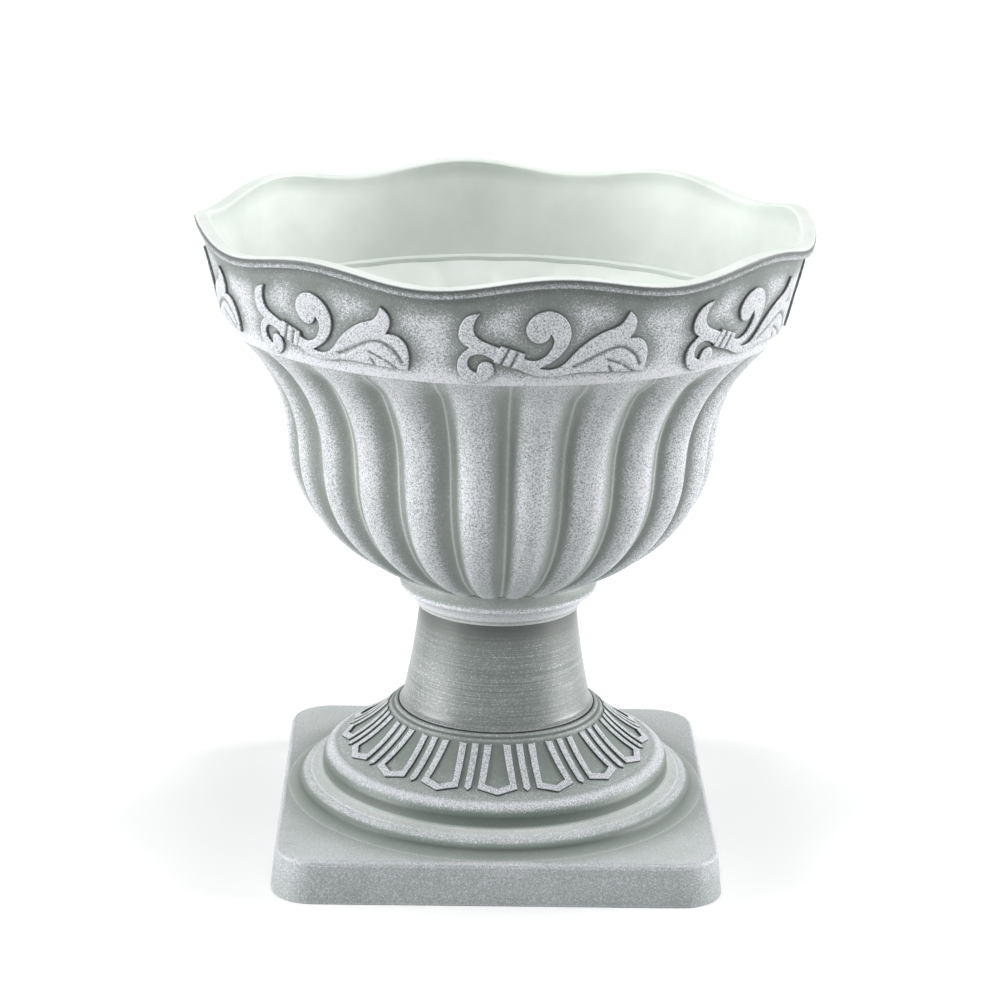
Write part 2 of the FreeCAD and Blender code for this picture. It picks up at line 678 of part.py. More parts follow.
def raised(outline, proud):
    """A drawn outline as a plate on the frieze wall."""
    scale = size("scroll_scale")
    middle_radius = frieze_at(SCROLL_TOP / 2)
    back = size("frieze_radius") * 0.85
    edges = []
    for stretch in outline:
        points = [Vector(middle_radius * math.sin(sideways * scale / middle_radius), -back,
                         size("frieze_foot") + up * scale) for sideways, up in stretch]
        if len(points) == 2:
            edges.append(Part.LineSegment(*points).toShape())
        else:
            spline = Part.BSplineCurve()
            spline.interpolate(points)
            edges.append(spline.toShape())
    face = Part.Face(Part.Wire(edges))
    return face.extrude(Vector(0, -size("frieze_radius") * 0.4, 0)).common(skin(proud))


def scroll():
    proud = size("scroll_proud")
    plates = raised(LEFT_LEAF, proud).fuse(raised(VOLUTE_AND_LEAF, proud))
    return plates.fuse(raised(BINDING, proud + 0.5))


crest_curve = lobe_profile()
cavity = bowl_cavity(crest_curve)
lobes = lobed_solid(crest_points(crest_curve, LOBE_STEPS, 0))
bowl = feature("bowl", lobes.fuse(collar_solid()).cut(cavity + floor_holes()))
frieze = feature("frieze", rim_ring().cut(cavity).fuse(
    turned_copies(scroll(), round(size("scroll_count")))))
for upper_piece in (bowl, frieze):
    upper_piece.Placement = Placement(AXIS, Rotation(UP, size("bowl_turn")))
    upper_piece.setExpression("Placement.Base.z", tie("neck_height + stem_height"))


# ---- clamp through the bowl's floor ------------------------------------------------------------

FLOOR_TOP = "neck_height + stem_height + bridge_recess_depth + wall"
BRIDGE_UNDER = "neck_height + stem_height - wall"

seal_washer = cut("seal_washer", cylinder("seal_disc", "seal_radius", "seal_thick", FLOOR_TOP),
                  cylinder("seal_hole", "bolt_radius + fit_gap", "seal_thick + 2",
                           FLOOR_TOP + " - 1"))
flat_washer = cut("flat_washer",
                  cylinder("washer_disc", "washer_radius", "washer_thick",
                           BRIDGE_UNDER + " - washer_thick"),
                  cylinder("washer_hole", "bolt_radius + fit_gap", "washer_thick + 2",
                           BRIDGE_UNDER + " - washer_thick - 1"))

TAIL = "neck_height + stem_height - wall - washer_thick - nut_height - bolt_tail"
HEAD = FLOOR_TOP + " + seal_thick"
bolt_body = turned_body("bolt_body", [
    ("0", TAIL),
    ("bolt_radius - 0.6", TAIL),
    ("bolt_radius", TAIL + " + 0.6"),
    ("bolt_radius", HEAD),
    ("bolt_head_radius", HEAD),
    ("bolt_head_radius", HEAD + " + 1", "bolt_head_radius * 1.6", 1),
    ("0", HEAD + " + bolt_head_height"),
])


def driver_slots(name, radius, bottom, across="0", angle=0.0):
    """A cross for a driver: two bars through the middle of a screw's head."""
    bars = []
    for turn in (0, 90):
        bar = doc.addObject("Part::Box", f"{name}_{turn}")
        bar.setExpression("Length", tie(f"2 * ({radius})"))
        bar.setExpression("Width", tie("slot_width"))
        bar.setExpression("Height", tie("slot_depth + 1"))
        middle = around(worth(across), math.radians(angle), worth(bottom))
        corner = Rotation(UP, turn).multVec(Vector(-worth(radius), -size("slot_width") / 2, 0))
        bar.Placement = Placement(middle + corner, Rotation(UP, turn))
        bars.append(bar)
    return fuse(name, bars)


clamp_bolt = cut("clamp_bolt", bolt_body,
                 driver_slots("bolt_cross", "bolt_head_radius * 0.6",
                              HEAD + " + bolt_head_height - slot_depth"))

NUT_BOTTOM = "neck_height + stem_height - wall - washer_thick - nut_height"
wings = []
for index, side in enumerate((0, 180)):
    wing = doc.addObject("Part::Box", f"wing_{index + 1}")
    wing.setExpression("Length", tie("wing_reach - nut_radius * 0.7"))
    wing.setExpression("Width", tie("wing_thick"))
    wing.setExpression("Height", tie("wing_height"))
    corner = Vector(size("nut_radius") * 0.7, -size("wing_thick") / 2, 0)
    wing.Placement = Placement(
        Rotation(UP, side).multVec(corner)
        + Vector(0, 0, worth(NUT_BOTTOM + " + nut_height * 0.8 - wing_height")), Rotation(UP, side))
    wings.append(wing)
nut_solid = fuse("nut_solid", [cylinder("nut_boss", "nut_radius", "nut_height", NUT_BOTTOM)] + wings)
wing_nut = cut("wing_nut", nut_solid,
               cylinder("nut_bore", "bolt_radius + thread_gap", "nut_height + 2",
                        NUT_BOTTOM + " - 1"))


# ---- screws of the stem's foot, heads down ----------------------------------------------------

SHELF_UNDER = "neck_height - spigot_length - wall"
screw_pieces = []
for index in range(round(size("screw_count"))):
    angle = 45 + index * 360 / size("screw_count")
    body = fuse(f"screw_{index + 1}_body", [
        cylinder(f"screw_{index + 1}_shank", "screw_radius", "screw_length", SHELF_UNDER,
                 "screw_circle", angle),
        cylinder(f"screw_{index + 1}_head", "screw_head_radius", "screw_head_height",
                 SHELF_UNDER + " - screw_head_height", "screw_circle", angle)])
    screw_pieces.append(cut(f"screw_{index + 1}", body, driver_slots(
        f"screw_{index + 1}_cross", "screw_head_radius * 0.7",
        SHELF_UNDER + " - screw_head_height - 1", "screw_circle", angle)))
stem_screws = doc.addObject("Part::Compound", "stem_screws")
stem_screws.Links = screw_pieces


# ---- drain plugs ------------------------------------------------------------------------------

def drain_plug(index):
    """A rubber plug: tapered body in the hole, flange on the floor and a knob to pull it by."""
    name = f"drain_plug_{index + 1}"
    body = turned_body(name, [
        ("0", "-plug_body_length"),
        ("drain_radius - plug_gap - plug_body_taper", "-plug_body_length"),
        ("drain_radius - plug_gap", "0"),
        ("plug_head_radius", "0"),
        ("plug_head_radius", "plug_head_thick * 0.6"),
        ("plug_head_radius - 0.8", "plug_head_thick"),
        ("plug_knob_neck", "plug_head_thick"),
        ("plug_knob_neck", "plug_head_thick + plug_knob_height * 0.4"),
        ("plug_knob_radius", "plug_head_thick + plug_knob_height * 0.7"),
        ("plug_knob_radius", "plug_head_thick + plug_knob_height * 0.85"),
        ("plug_knob_radius - 1", "plug_head_thick + plug_knob_height"),
        ("0", "plug_head_thick + plug_knob_height"),
    ])
    place(body, FLOOR_TOP, "drain_circle",
          size("bowl_turn") + index * 360 / size("drain_count"))
    return body


drain_plugs = [drain_plug(index) for index in range(round(size("drain_count")))]


# ---- check and write --------------------------------------------------------------------------

doc.recompute()
for item in doc.Objects:
    if "Invalid" in item.State or "Error" in item.State:
        raise RuntimeError(f"{item.Name} failed: {item.State}")

nodes = [frieze, bowl, stem, base, base_rings, plinth, clamp_bolt, seal_washer, flat_washer, wing_nut,
         stem_screws] + drain_plugs
os.makedirs("parts", exist_ok=True)
for node in nodes:
    shape = node.Shape
    if shape.isNull() or not shape.isValid() or not shape.Solids:
        raise RuntimeError(f"{node.Label} has no valid solid")
    print(f"{node.Label:16s} solids {len(shape.Solids)} faces {len(shape.Faces):4d} "
          f"volume {shape.Volume / 1000:8.2f} cm3  z {shape.BoundBox.ZMin:7.2f} .. "
          f"{shape.BoundBox.ZMax:7.2f}  x {shape.BoundBox.XMin:8.2f} .. {shape.BoundBox.XMax:7.2f}")
for node in nodes:
    node.Shape.exportStep(f"parts/{node.Label}.step")
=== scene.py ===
"""Urn planter in antiqued grey-green paint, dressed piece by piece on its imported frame."""
import math

import bmesh
import bpy
import numpy as np
from mathutils import Matrix, Vector
from mathutils.geometry import tessellate_polygon


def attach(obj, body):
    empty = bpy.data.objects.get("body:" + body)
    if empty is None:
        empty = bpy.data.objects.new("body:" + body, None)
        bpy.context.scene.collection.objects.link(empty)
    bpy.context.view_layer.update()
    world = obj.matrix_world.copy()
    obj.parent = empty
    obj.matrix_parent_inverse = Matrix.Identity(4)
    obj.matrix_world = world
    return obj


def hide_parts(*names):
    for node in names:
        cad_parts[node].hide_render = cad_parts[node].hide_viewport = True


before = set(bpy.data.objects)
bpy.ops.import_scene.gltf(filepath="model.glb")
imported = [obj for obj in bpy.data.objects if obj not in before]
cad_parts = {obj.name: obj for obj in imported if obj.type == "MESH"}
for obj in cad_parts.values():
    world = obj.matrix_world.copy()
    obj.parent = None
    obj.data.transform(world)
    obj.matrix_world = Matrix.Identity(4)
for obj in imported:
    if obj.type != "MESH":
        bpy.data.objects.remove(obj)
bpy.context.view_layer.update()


# ---- plinth -----------------------------------------------------------------------------------
# The square slab that the urn stands on: an upside-down tray, moulded in one with the round base
# above it, in grey-green plastic with white paint sprayed lightly over its top and edges.

MM = 0.001


class Tone:
    """A number, vector or colour inside a material, with arithmetic that adds nodes."""

    def __init__(self, tree, socket=None):
        self.tree = tree
        self.socket = socket

    def node(self, kind, settings=None, inputs=None, output=0):
        """A new node of a kind: its settings first, then its sockets' values or links."""
        made = self.tree.nodes.new(kind)
        for name, value in (settings or {}).items():
            setattr(made, name, value)
        for key, value in (inputs or {}).items():
            if isinstance(value, Tone):
                self.tree.links.new(value.socket, made.inputs[key])
            else:
                made.inputs[key].default_value = value
        return Tone(self.tree, made.outputs[output])

    def math(self, operation, *values):
        return self.node("ShaderNodeMath", {"operation": operation}, dict(enumerate(values)))

    def __add__(self, other):
        return self.math("ADD", self, other)

    def __radd__(self, other):
        return self.math("ADD", other, self)

    def __sub__(self, other):
        return self.math("SUBTRACT", self, other)

    def __rsub__(self, other):
        return self.math("SUBTRACT", other, self)

    def __mul__(self, other):
        return self.math("MULTIPLY", self, other)

    def __rmul__(self, other):
        return self.math("MULTIPLY", other, self)

    def larger(self, other):
        """The larger of this and another number."""
        return self.math("MAXIMUM", self, other)

    def clamped(self):
        """This number, held from 0 to 1."""
        return self.node("ShaderNodeClamp", {}, {0: self})

    def rising(self, low, high):
        """0 below low, 1 above high, and a smooth step between them."""
        return self.node("ShaderNodeMapRange", {"interpolation_type": "SMOOTHSTEP"},
                         {0: self, 1: low, 2: high, 3: 0.0, 4: 1.0})

    def between(self, first, second):
        """The colour first where this is 0, and second where it is 1."""
        return self.node("ShaderNodeMix", {"data_type": "RGBA", "clamp_factor": True},
                         {0: self, 6: first, 7: second}, 2)

    def stretched(self, across, up):
        """A position, with its scale sideways and upwards changed."""
        return self.node("ShaderNodeVectorMath", {"operation": "MULTIPLY"},
                         {0: self, 1: (across, across, up)})

    def speckle(self, scale, detail=2.0, rough=0.6):
        """Noise at this position, from about 0.3 to 0.7."""
        return self.node("ShaderNodeTexNoise", {}, {"Vector": self, "Scale": scale,
                                                    "Detail": detail, "Roughness": rough})

    def bumped(self, strength, distance):
        """The surface's normal where this is its height."""
        return self.node("ShaderNodeBump", {}, {"Strength": strength, "Distance": distance,
                                                "Height": self}, "Normal")

    def feeds(self, shader, name):
        """Links this to a shader's socket."""
        self.tree.links.new(self.socket, shader.inputs[name])


def grey_green(red, green, blue):
    """A colour from the 0..255 values of a screen."""
    linear = [((part / 255 + 0.055) / 1.055) ** 2.4 for part in (red, green, blue)]
    return (*linear, 1.0)


def antiqued(name, streaks=0.0, ground=(128, 138, 131), fleck=240, pits=0.7, inner=218,
             varnish=0.3):
    """Grey-green plastic under a speckle of white paint, darkened in its creases by glaze and
    painted shade.

    The mesh says how much: spray for white paint, a dark mark for glaze and painted shade, bare for
    raw plastic.
    The colour of the ground, the white of a fleck and that of the inner plastic are from 0 to 255.
    """
    paint = bpy.data.materials.new(name)
    paint.use_nodes = True
    shader = paint.node_tree.nodes["Principled BSDF"]
    start = Tone(paint.node_tree)
    place = start.node("ShaderNodeTexCoord", {}, {}, "Object")
    spray = start.node("ShaderNodeAttribute", {"attribute_name": "spray"}, {}, "Fac")
    glaze_and_shade = start.node("ShaderNodeAttribute", {"attribute_name": "glaze_and_shade"}, {}, "Fac")
    bare = start.node("ShaderNodeAttribute", {"attribute_name": "bare"}, {}, "Fac")

    grit = place.speckle(2400.0, 1.0)
    blot = place.speckle(1000.0, 2.0)
    cloud = place.speckle(38.0, 3.0)
    dots = grit * 0.6 + blot * 0.4
    cover = spray + (cloud - 0.5) * 0.35
    if streaks:
        brushed = place.stretched(12.0, 1500.0).speckle(1.0, 3.0, 0.7)
        cover = cover + (brushed - 0.5) * streaks
    cover = cover.clamped()
    white = (dots - (0.66 - cover * 0.27)).rising(-0.04, 0.04)

    mist = cover.between(grey_green(*ground), grey_green(190, 195, 198))
    coat = white.between(mist, grey_green(fleck - 2, fleck - 1, fleck + 6))
    holes = (dots.rising(0.47, 0.37) * (1.0 - bare)).clamped()
    coat = (holes * pits).between(coat, grey_green(66, 76, 72))
    # Dark glaze and painted shade in creases, recesses and under overhangs, where the dark mark
    # says.
    dark = (glaze_and_shade + (dots - 0.5) * 1.2 * glaze_and_shade).clamped()
    coat = dark.between(coat, grey_green(32, 42, 37))
    soft = place.speckle(22.0, 4.0, 0.55).rising(0.3, 0.7)
    raw = soft.between(grey_green(inner - 8, inner - 2, inner - 7),
                       grey_green(inner + 5, inner + 10, inner + 6))
    coat = bare.between(coat, raw)
    coat.feeds(shader, "Base Color")
    ((1.0 - bare) * varnish).feeds(shader, "Coat Weight")
    shader.inputs["Coat Roughness"].default_value = 0.35
    sheen = 0.56 - white * 0.1 + bare * 0.06 + (grit - 0.5) * 0.2
    sheen.feeds(shader, "Roughness")
    relief = (white * 0.7 + grit * 0.5) * (1.0 - bare)
    relief.bumped(0.4, 0.0001).feeds(shader, "Normal")
    return paint


def ring(angles, radius, height, spray=0.5, glaze_and_shade=0.0, bare=0.0):
    """Points round the axis, in millimetres, with what the paint needs to know at each."""
    points = np.zeros((len(angles), 6))
    points[:, 0] = radius * np.sin(angles)
    points[:, 1] = -radius * np.cos(angles)
    for column, values in ((2, height), (3, spray), (4, glaze_and_shade), (5, bare)):
        points[:, column] = values
    return points


def joined(rings, loop=True):
    """Faces between neighbouring rings. A ring may have half as many points as its neighbour."""
    starts = np.cumsum([0] + [len(row) for row in rings])
    faces = []
    pairs = list(zip(range(len(rings)), range(1, len(rings))))
    if loop:
        pairs.append((len(rings) - 1, 0))
    for first, second in pairs:
        low, high = starts[first], starts[second]
        below, above = len(rings[first]), len(rings[second])
        if below == above:
            step = np.arange(below)
            after = (step + 1) % below
            faces += np.stack([low + step, low + after, high + after, high + step], 1).tolist()
            continue
        few = min(below, above)
        step = np.arange(few)
        after = (step + 1) % few
        double = 2 * few
        if below < above:
            corners = [(low + step, high + 2 * step + 1, high + 2 * step),
                       (low + step, low + after, high + 2 * step + 1),
                       (low + after, high + (2 * step + 2) % double, high + 2 * step + 1)]
        else:
            corners = [(low + 2 * step, low + 2 * step + 1, high + step),
                       (low + 2 * step + 1, high + after, high + step),
                       (low + 2 * step + 1, low + (2 * step + 2) % double, high + after)]
        for three in corners:
            faces += np.stack(three, 1).tolist()
    return np.concatenate(rings), faces


def piece(name, points, faces, paint, nodes=(), sharp=38.0):
    """A painted piece of the urn, from points with marks and their faces."""
    mesh = bpy.data.meshes.new(name)
    mesh.from_pydata((points[:, :3] * MM).tolist(), [], faces)
    for column, mark in enumerate(("spray", "glaze_and_shade", "bare"), start=3):
        values = np.clip(points[:, column], 0, 1).astype(np.float32)
        mesh.attributes.new(mark, "FLOAT", "POINT").data.foreach_set("value", values)
    mesh.polygons.foreach_set("use_smooth", [True] * len(mesh.polygons))
    mesh.set_sharp_from_angle(angle=math.radians(sharp))
    mesh.materials.append(paint)
    made = bpy.data.objects.new(name, mesh)
    bpy.context.scene.collection.objects.link(made)
    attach(made, "urn")
    if nodes:
        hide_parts(*nodes)
    return made


PLINTH_HALF = 124.0
PLINTH_TOP = 24.0
PLINTH_LEAN = 0.1
PLINTH_CORNER = 24.0
PLINTH_WALL = 3.0
PLINTH_ROUND = 2.4
PLINTH_OPENING = 101.6
MOULDING_FOOT = 117.8
SIDE_STEPS = 30
CORNER_STEPS = 14


def square_ring(half, corner, height, spray=0.5, glaze_and_shade=0.0, bare=0.0):
    """A ring round a square with rounded corners, starting in the middle of the front."""
    quarter = []
    for share in np.linspace(0, 1, SIDE_STEPS, endpoint=False):
        quarter.append((share * (half - corner), -half))
    for turn in np.linspace(0, math.pi / 2, CORNER_STEPS):
        quarter.append((half - corner + corner * math.sin(turn),
                        -(half - corner) - corner * math.cos(turn)))
    for share in np.linspace(1, 0, SIDE_STEPS, endpoint=False)[1:]:
        quarter.append((half, -share * (half - corner)))
    quarter = np.array(quarter)
    points = []
    for turn in range(4):
        angle = turn * math.pi / 2
        cosine, sine = math.cos(angle), math.sin(angle)
        points.append(quarter @ np.array([[cosine, sine], [-sine, cosine]]))
    flat = np.concatenate(points)
    made = np.zeros((len(flat), 6))
    made[:, :2] = flat
    made[:, 2:] = (height, spray, glaze_and_shade, bare)
    return made


def plinth_rings():
    """The slab from its opening, down inside, under its edge, up its sides and over its top."""
    half, wall, top = PLINTH_HALF, PLINTH_WALL, PLINTH_TOP
    inside = top - wall
    rows = []
    outline = square_ring(half, PLINTH_CORNER, 0.0)
    angles = np.arctan2(outline[:, 0], -outline[:, 1])
    rows.append(ring(angles, PLINTH_OPENING, inside, bare=1.0))
    rows.append(square_ring(half - wall - PLINTH_LEAN * inside - 2, PLINTH_CORNER - wall - 1,
                            inside, bare=1.0))
    rows.append(square_ring(half - wall - PLINTH_LEAN * inside, PLINTH_CORNER - wall,
                            inside - 2, bare=1.0))
    rows.append(square_ring(half - wall, PLINTH_CORNER - wall, 0.4, bare=1.0))
    rows.append(square_ring(half - wall + 0.4, PLINTH_CORNER - wall, 0.0, 0.5))
    rows.append(square_ring(half - 0.6, PLINTH_CORNER, 0.0, 0.5))
    rows.append(square_ring(half - 0.1, PLINTH_CORNER, 0.5, 0.65))
    for height in np.linspace(1.5, top - 2.6, 10):
        share = height / top
        rows.append(square_ring(half - PLINTH_LEAN * height, PLINTH_CORNER, height,
                                0.4 + 0.1 * share))
    for turn in np.linspace(0, math.pi / 2, 6):
        inwards = PLINTH_ROUND * (1 - math.cos(turn))
        lift = PLINTH_ROUND * math.sin(turn)
        rows.append(square_ring(half - PLINTH_LEAN * top - inwards, PLINTH_CORNER - inwards,
                                top - PLINTH_ROUND + lift, 0.55))
    last = half - PLINTH_LEAN * top - PLINTH_ROUND
    edge = square_ring(last, PLINTH_CORNER - PLINTH_ROUND, top)
    round_foot = ring(angles, MOULDING_FOOT, top)
    for share in (0.03, 0.08, 0.15, 0.25, 0.4, 0.55, 0.7, 0.82, 0.9, 0.95, 0.98, 1.0):
        row = edge * (1 - share) + round_foot * share
        away = np.hypot(row[:, 0], row[:, 1]) - MOULDING_FOOT
        from_edge = last - np.maximum(np.abs(row[:, 0]), np.abs(row[:, 1]))
        # Painted shade on the slab top close to the moulding's foot: less white and raw plastic
        # there.
        near = np.exp(-(away / 9) ** 2)
        edge_rub = np.exp(-(from_edge / 5) ** 2)
        row[:, 3] = 0.46 + 0.1 * edge_rub - 0.3 * near
        row[:, 5] = 0.35 - 0.1 * edge_rub - 0.1 * near
        rows.append(row)
    rows.append(ring(angles, PLINTH_OPENING, top, bare=1.0))
    return rows


plinth_paint = antiqued("plinth_paint", ground=(124, 135, 129), fleck=208, pits=0.2)
piece("square_plinth", *joined(plinth_rings()), plinth_paint, ["plinth"])


# ---- base -------------------------------------------------------------------------------------
# Two round mouldings and a hollow slope with sixteen tongues and darts, moulded with the plinth.
# Glaze and painted shade darken its steps, rings' sides and tongues' walls; raised parts carry
# white.


def arc(start, end, radius, turn, steps):
    """Points on a circle arc between two profile points, after start; turn as in the model."""
    start, end = np.array(start, float), np.array(end, float)
    chord = end - start
    half = np.hypot(*chord) / 2
    side = np.array([-chord[1], chord[0]]) / (2 * half)
    centre = (start + end) / 2 + side * turn * math.sqrt(radius * radius - half * half)
    first = math.atan2(*(start - centre)[::-1])
    last = math.atan2(*(end - centre)[::-1])
    sweep = (last - first + math.pi) % (2 * math.pi) - math.pi
    turns = first + sweep * np.arange(1, steps + 1) / steps
    return centre + radius * np.stack([np.cos(turns), np.sin(turns)], 1)


def turned_profile(corners, ease=0.5, step=1.4, crease=1.5, rub=0.22):
    """A turned profile with softened edges, as rows of radius, height, spray, glaze and bare.

    A corner is (radius, height, spray, bare), and then the radius and turn of an arc, if one
    leaves it. Inner corners darken over a crease's width with glaze and painted shade, and outer
    ones are rubbed white. Spray below 0 stands for glaze and painted shade over a whole stretch.
    """
    path = []
    for index, corner in enumerate(corners):
        path.append((*corner[:4], index))
        if len(corner) > 4:
            following = corners[(index + 1) % len(corners)]
            steps = max(6, round(math.dist(corner[:2], following[:2]) / step))
            spots = arc(corner[:2], following[:2], corner[4], corner[5], steps)[:-1]
            for number, spot in enumerate(spots, start=1):
                share = number / steps
                marks = np.array(corner[2:4]) * (1 - share) + np.array(following[2:4]) * share
                path.append((*spot, *marks, index + share))
    path = np.array(path)
    count = len(path)
    rows, bends = [], []
    for index in range(count):
        before, here, after = path[index - 1], path[index], path[(index + 1) % count]
        back, ahead = here[:2] - before[:2], after[:2] - here[:2]
        near, far = np.hypot(*back), np.hypot(*ahead)
        turn = math.atan2(back[0] * ahead[1] - back[1] * ahead[0], back @ ahead)
        if abs(turn) > 0.3 and ease:
            cut = min(ease, 0.4 * near, 0.4 * far)
            first, last = here[:2] - back / near * cut, here[:2] + ahead / far * cut
            for share in (0.0, 0.35, 0.65, 1.0):
                spot = (first * (1 - share) ** 2 + here[:2] * 2 * share * (1 - share)
                        + last * share ** 2)
                rows.append((*spot, here[2], 0.0, here[3]))
            bends.append((*here[:2], turn, here[3]))
        else:
            rows.append((*here[:3], 0.0, here[3]))
        pieces = int(far // (2 * step))
        for share in np.arange(1, pieces + 1) / (pieces + 1):
            spot = here * (1 - share) + after * share
            if min(share * far, (1 - share) * far) > ease:
                rows.append((*spot[:3], 0.0, spot[3]))
    rows = np.array(rows)
    for radius, height, turn, bare in bends:
        away = np.hypot(rows[:, 0] - radius, rows[:, 1] - height)
        # Inner corners darken with glaze and painted shade; outer ones get rubbed white.
        if turn < 0:
            rows[:, 3] += min(1.0, -turn) * np.exp(-(away / crease) ** 2)
        else:
            rows[:, 2] += rub * min(1.0, turn) * np.exp(-(away / 1.2) ** 2)
    return rows


def turned(profile, columns):
    """Rings round the axis from a profile's rows."""
    angles = np.arange(columns) * 2 * math.pi / columns
    return [ring(angles, *row) for row in profile]


NECK_HEIGHT = 74.3
SLOPE_FOOT = (90.5, 48.2)
SLOPE_HOLLOW = 85.0
# Spray below 0 on the rings' sides and in the neck's grooves is painted shade.
BASE_CORNERS = [
    (119.5, 24.0, 0.2, 0.35, 9.0, -1),
    (112.6, 28.2, -0.7, 0.0, 7.0, 1),
    (109.9, 31.3, 0.4, 0.1, 7.0, 1),
    (106.2, 32.9, 0.65, 0.2),
    (105.2, 33.5, 0.45, 0.45),
    (100.6, 34.6, 0.5, 0.6, 1.6, -1),
    (99.3, 36.2, -0.4, 0.1),
    (99.0, 40.9, -0.6, 0.0, 11.0, 1),
    (96.8, 45.2, 0.5, 0.0, 11.0, 1),
    (94.0, 47.2, 0.75, 0.15, 11.0, 1),
    (*SLOPE_FOOT, 0.3, 0.2, SLOPE_HOLLOW, -1),
    (61.3, 70.1, -0.3, 0.1),
    (60.4, 71.9, 0.1, 0.1),
    (58.4, 72.2, -0.3, 0.1),
    (58.0, 73.8, 0.1, 0.1),
    (56.4, 74.3, -0.1, 0.1),
    (55.8, 73.6, 0.0, 0.0),
    (52.8, 73.6, 0.0, 1.0),
    (52.8, 62.0, 0.0, 1.0),
    (38.0, 62.0, 0.0, 1.0),
    (38.0, 59.0, 0.0, 1.0),
    (69.8, 59.0, 0.0, 1.0),
    (87.5, 45.2, 0.0, 1.0),
    (95.8, 41.2, 0.0, 1.0),
    (96.8, 31.8, 0.0, 1.0),
    (101.6, 30.3, 0.0, 1.0),
    (101.6, 24.0, 0.0, 1.0),
]
base_profile = turned_profile(BASE_CORNERS, crease=0.8, rub=0.18)
base_profile[:, 3] = 0.35 * base_profile[:, 3] + np.maximum(0, -base_profile[:, 2])
base_paint = antiqued("base_paint", ground=(97, 110, 102), fleck=226, pits=0.35)
piece("round_base", *joined(turned(base_profile, 320)), base_paint,
      ["base", "base_rings"])


def even_outline(corners, step=0.9):
    """A closed outline through corners, with points at most a step apart."""
    corners = np.array(corners, float)
    points = []
    for start, end in zip(corners, np.roll(corners, -1, 0)):
        count = max(1, math.ceil(math.dist(start, end) / step))
        points += [start + (end - start) * share for share in np.arange(count) / count]
    return np.array(points)


def distance_to(points, outline, closed=True):
    """How far each point lies from an outline's nearest stretch."""
    starts = outline if closed else outline[:-1]
    along = np.roll(outline, -1, 0)[:len(starts)] - starts
    length = np.maximum((along ** 2).sum(1), 1e-12)
    offset = points[:, None, :] - starts[None]
    share = np.clip((offset * along).sum(2) / length, 0, 1)
    nearest = offset - share[..., None] * along
    return np.sqrt((nearest ** 2).sum(2)).min(1)


def inside(points, outline):
    """Whether each point lies within a closed outline."""
    x, y = points[:, :1], points[:, 1:]
    x1, y1 = outline[:, 0], outline[:, 1]
    x2, y2 = np.roll(x1, -1), np.roll(y1, -1)
    crossing = (y1 > y) != (y2 > y)
    with np.errstate(divide="ignore", invalid="ignore"):
        where = (x2 - x1) * (y - y1) / (y2 - y1) + x1
    return (crossing & (x < where)).sum(1) % 2 == 1


def signed_area(outline):
    """Twice the area within a closed outline, below 0 where it runs clockwise."""
    after = np.roll(outline, -1, 0)
    return np.sum(outline[:, 0] * after[:, 1] - after[:, 0] * outline[:, 1])


def inset(outline, width):
    """The outline moved inwards by up to a width, less where the shape is too thin for it."""
    along = np.roll(outline, -1, 0) - np.roll(outline, 1, 0)
    along /= np.maximum(np.hypot(*along.T), 1e-9)[:, None]
    inwards = np.stack([-along[:, 1], along[:, 0]], 1) * np.sign(signed_area(outline))
    moved = outline.copy()
    left = np.ones(len(outline), bool)
    for share in (1.0, 0.75, 0.5, 0.3, 0.15, 0.05):
        trial = outline + inwards * width * share
        good = left & inside(trial, outline) & (distance_to(trial, outline)
                                                > 0.8 * width * share)
        moved[good] = trial[good]
        left &= ~good
    return moved


def nearest_on(points, outline):
    """The nearest place on an outline to each point."""
    along = np.roll(outline, -1, 0) - outline
    length = np.maximum((along ** 2).sum(1), 1e-12)
    offset = points[:, None, :] - outline[None]
    share = np.clip((offset * along).sum(2) / length, 0, 1)
    spots = outline[None] + share[..., None] * along
    best = np.argmin(((points[:, None, :] - spots) ** 2).sum(2), 1)
    return spots[np.arange(len(points)), best]


SUNK = 0.5


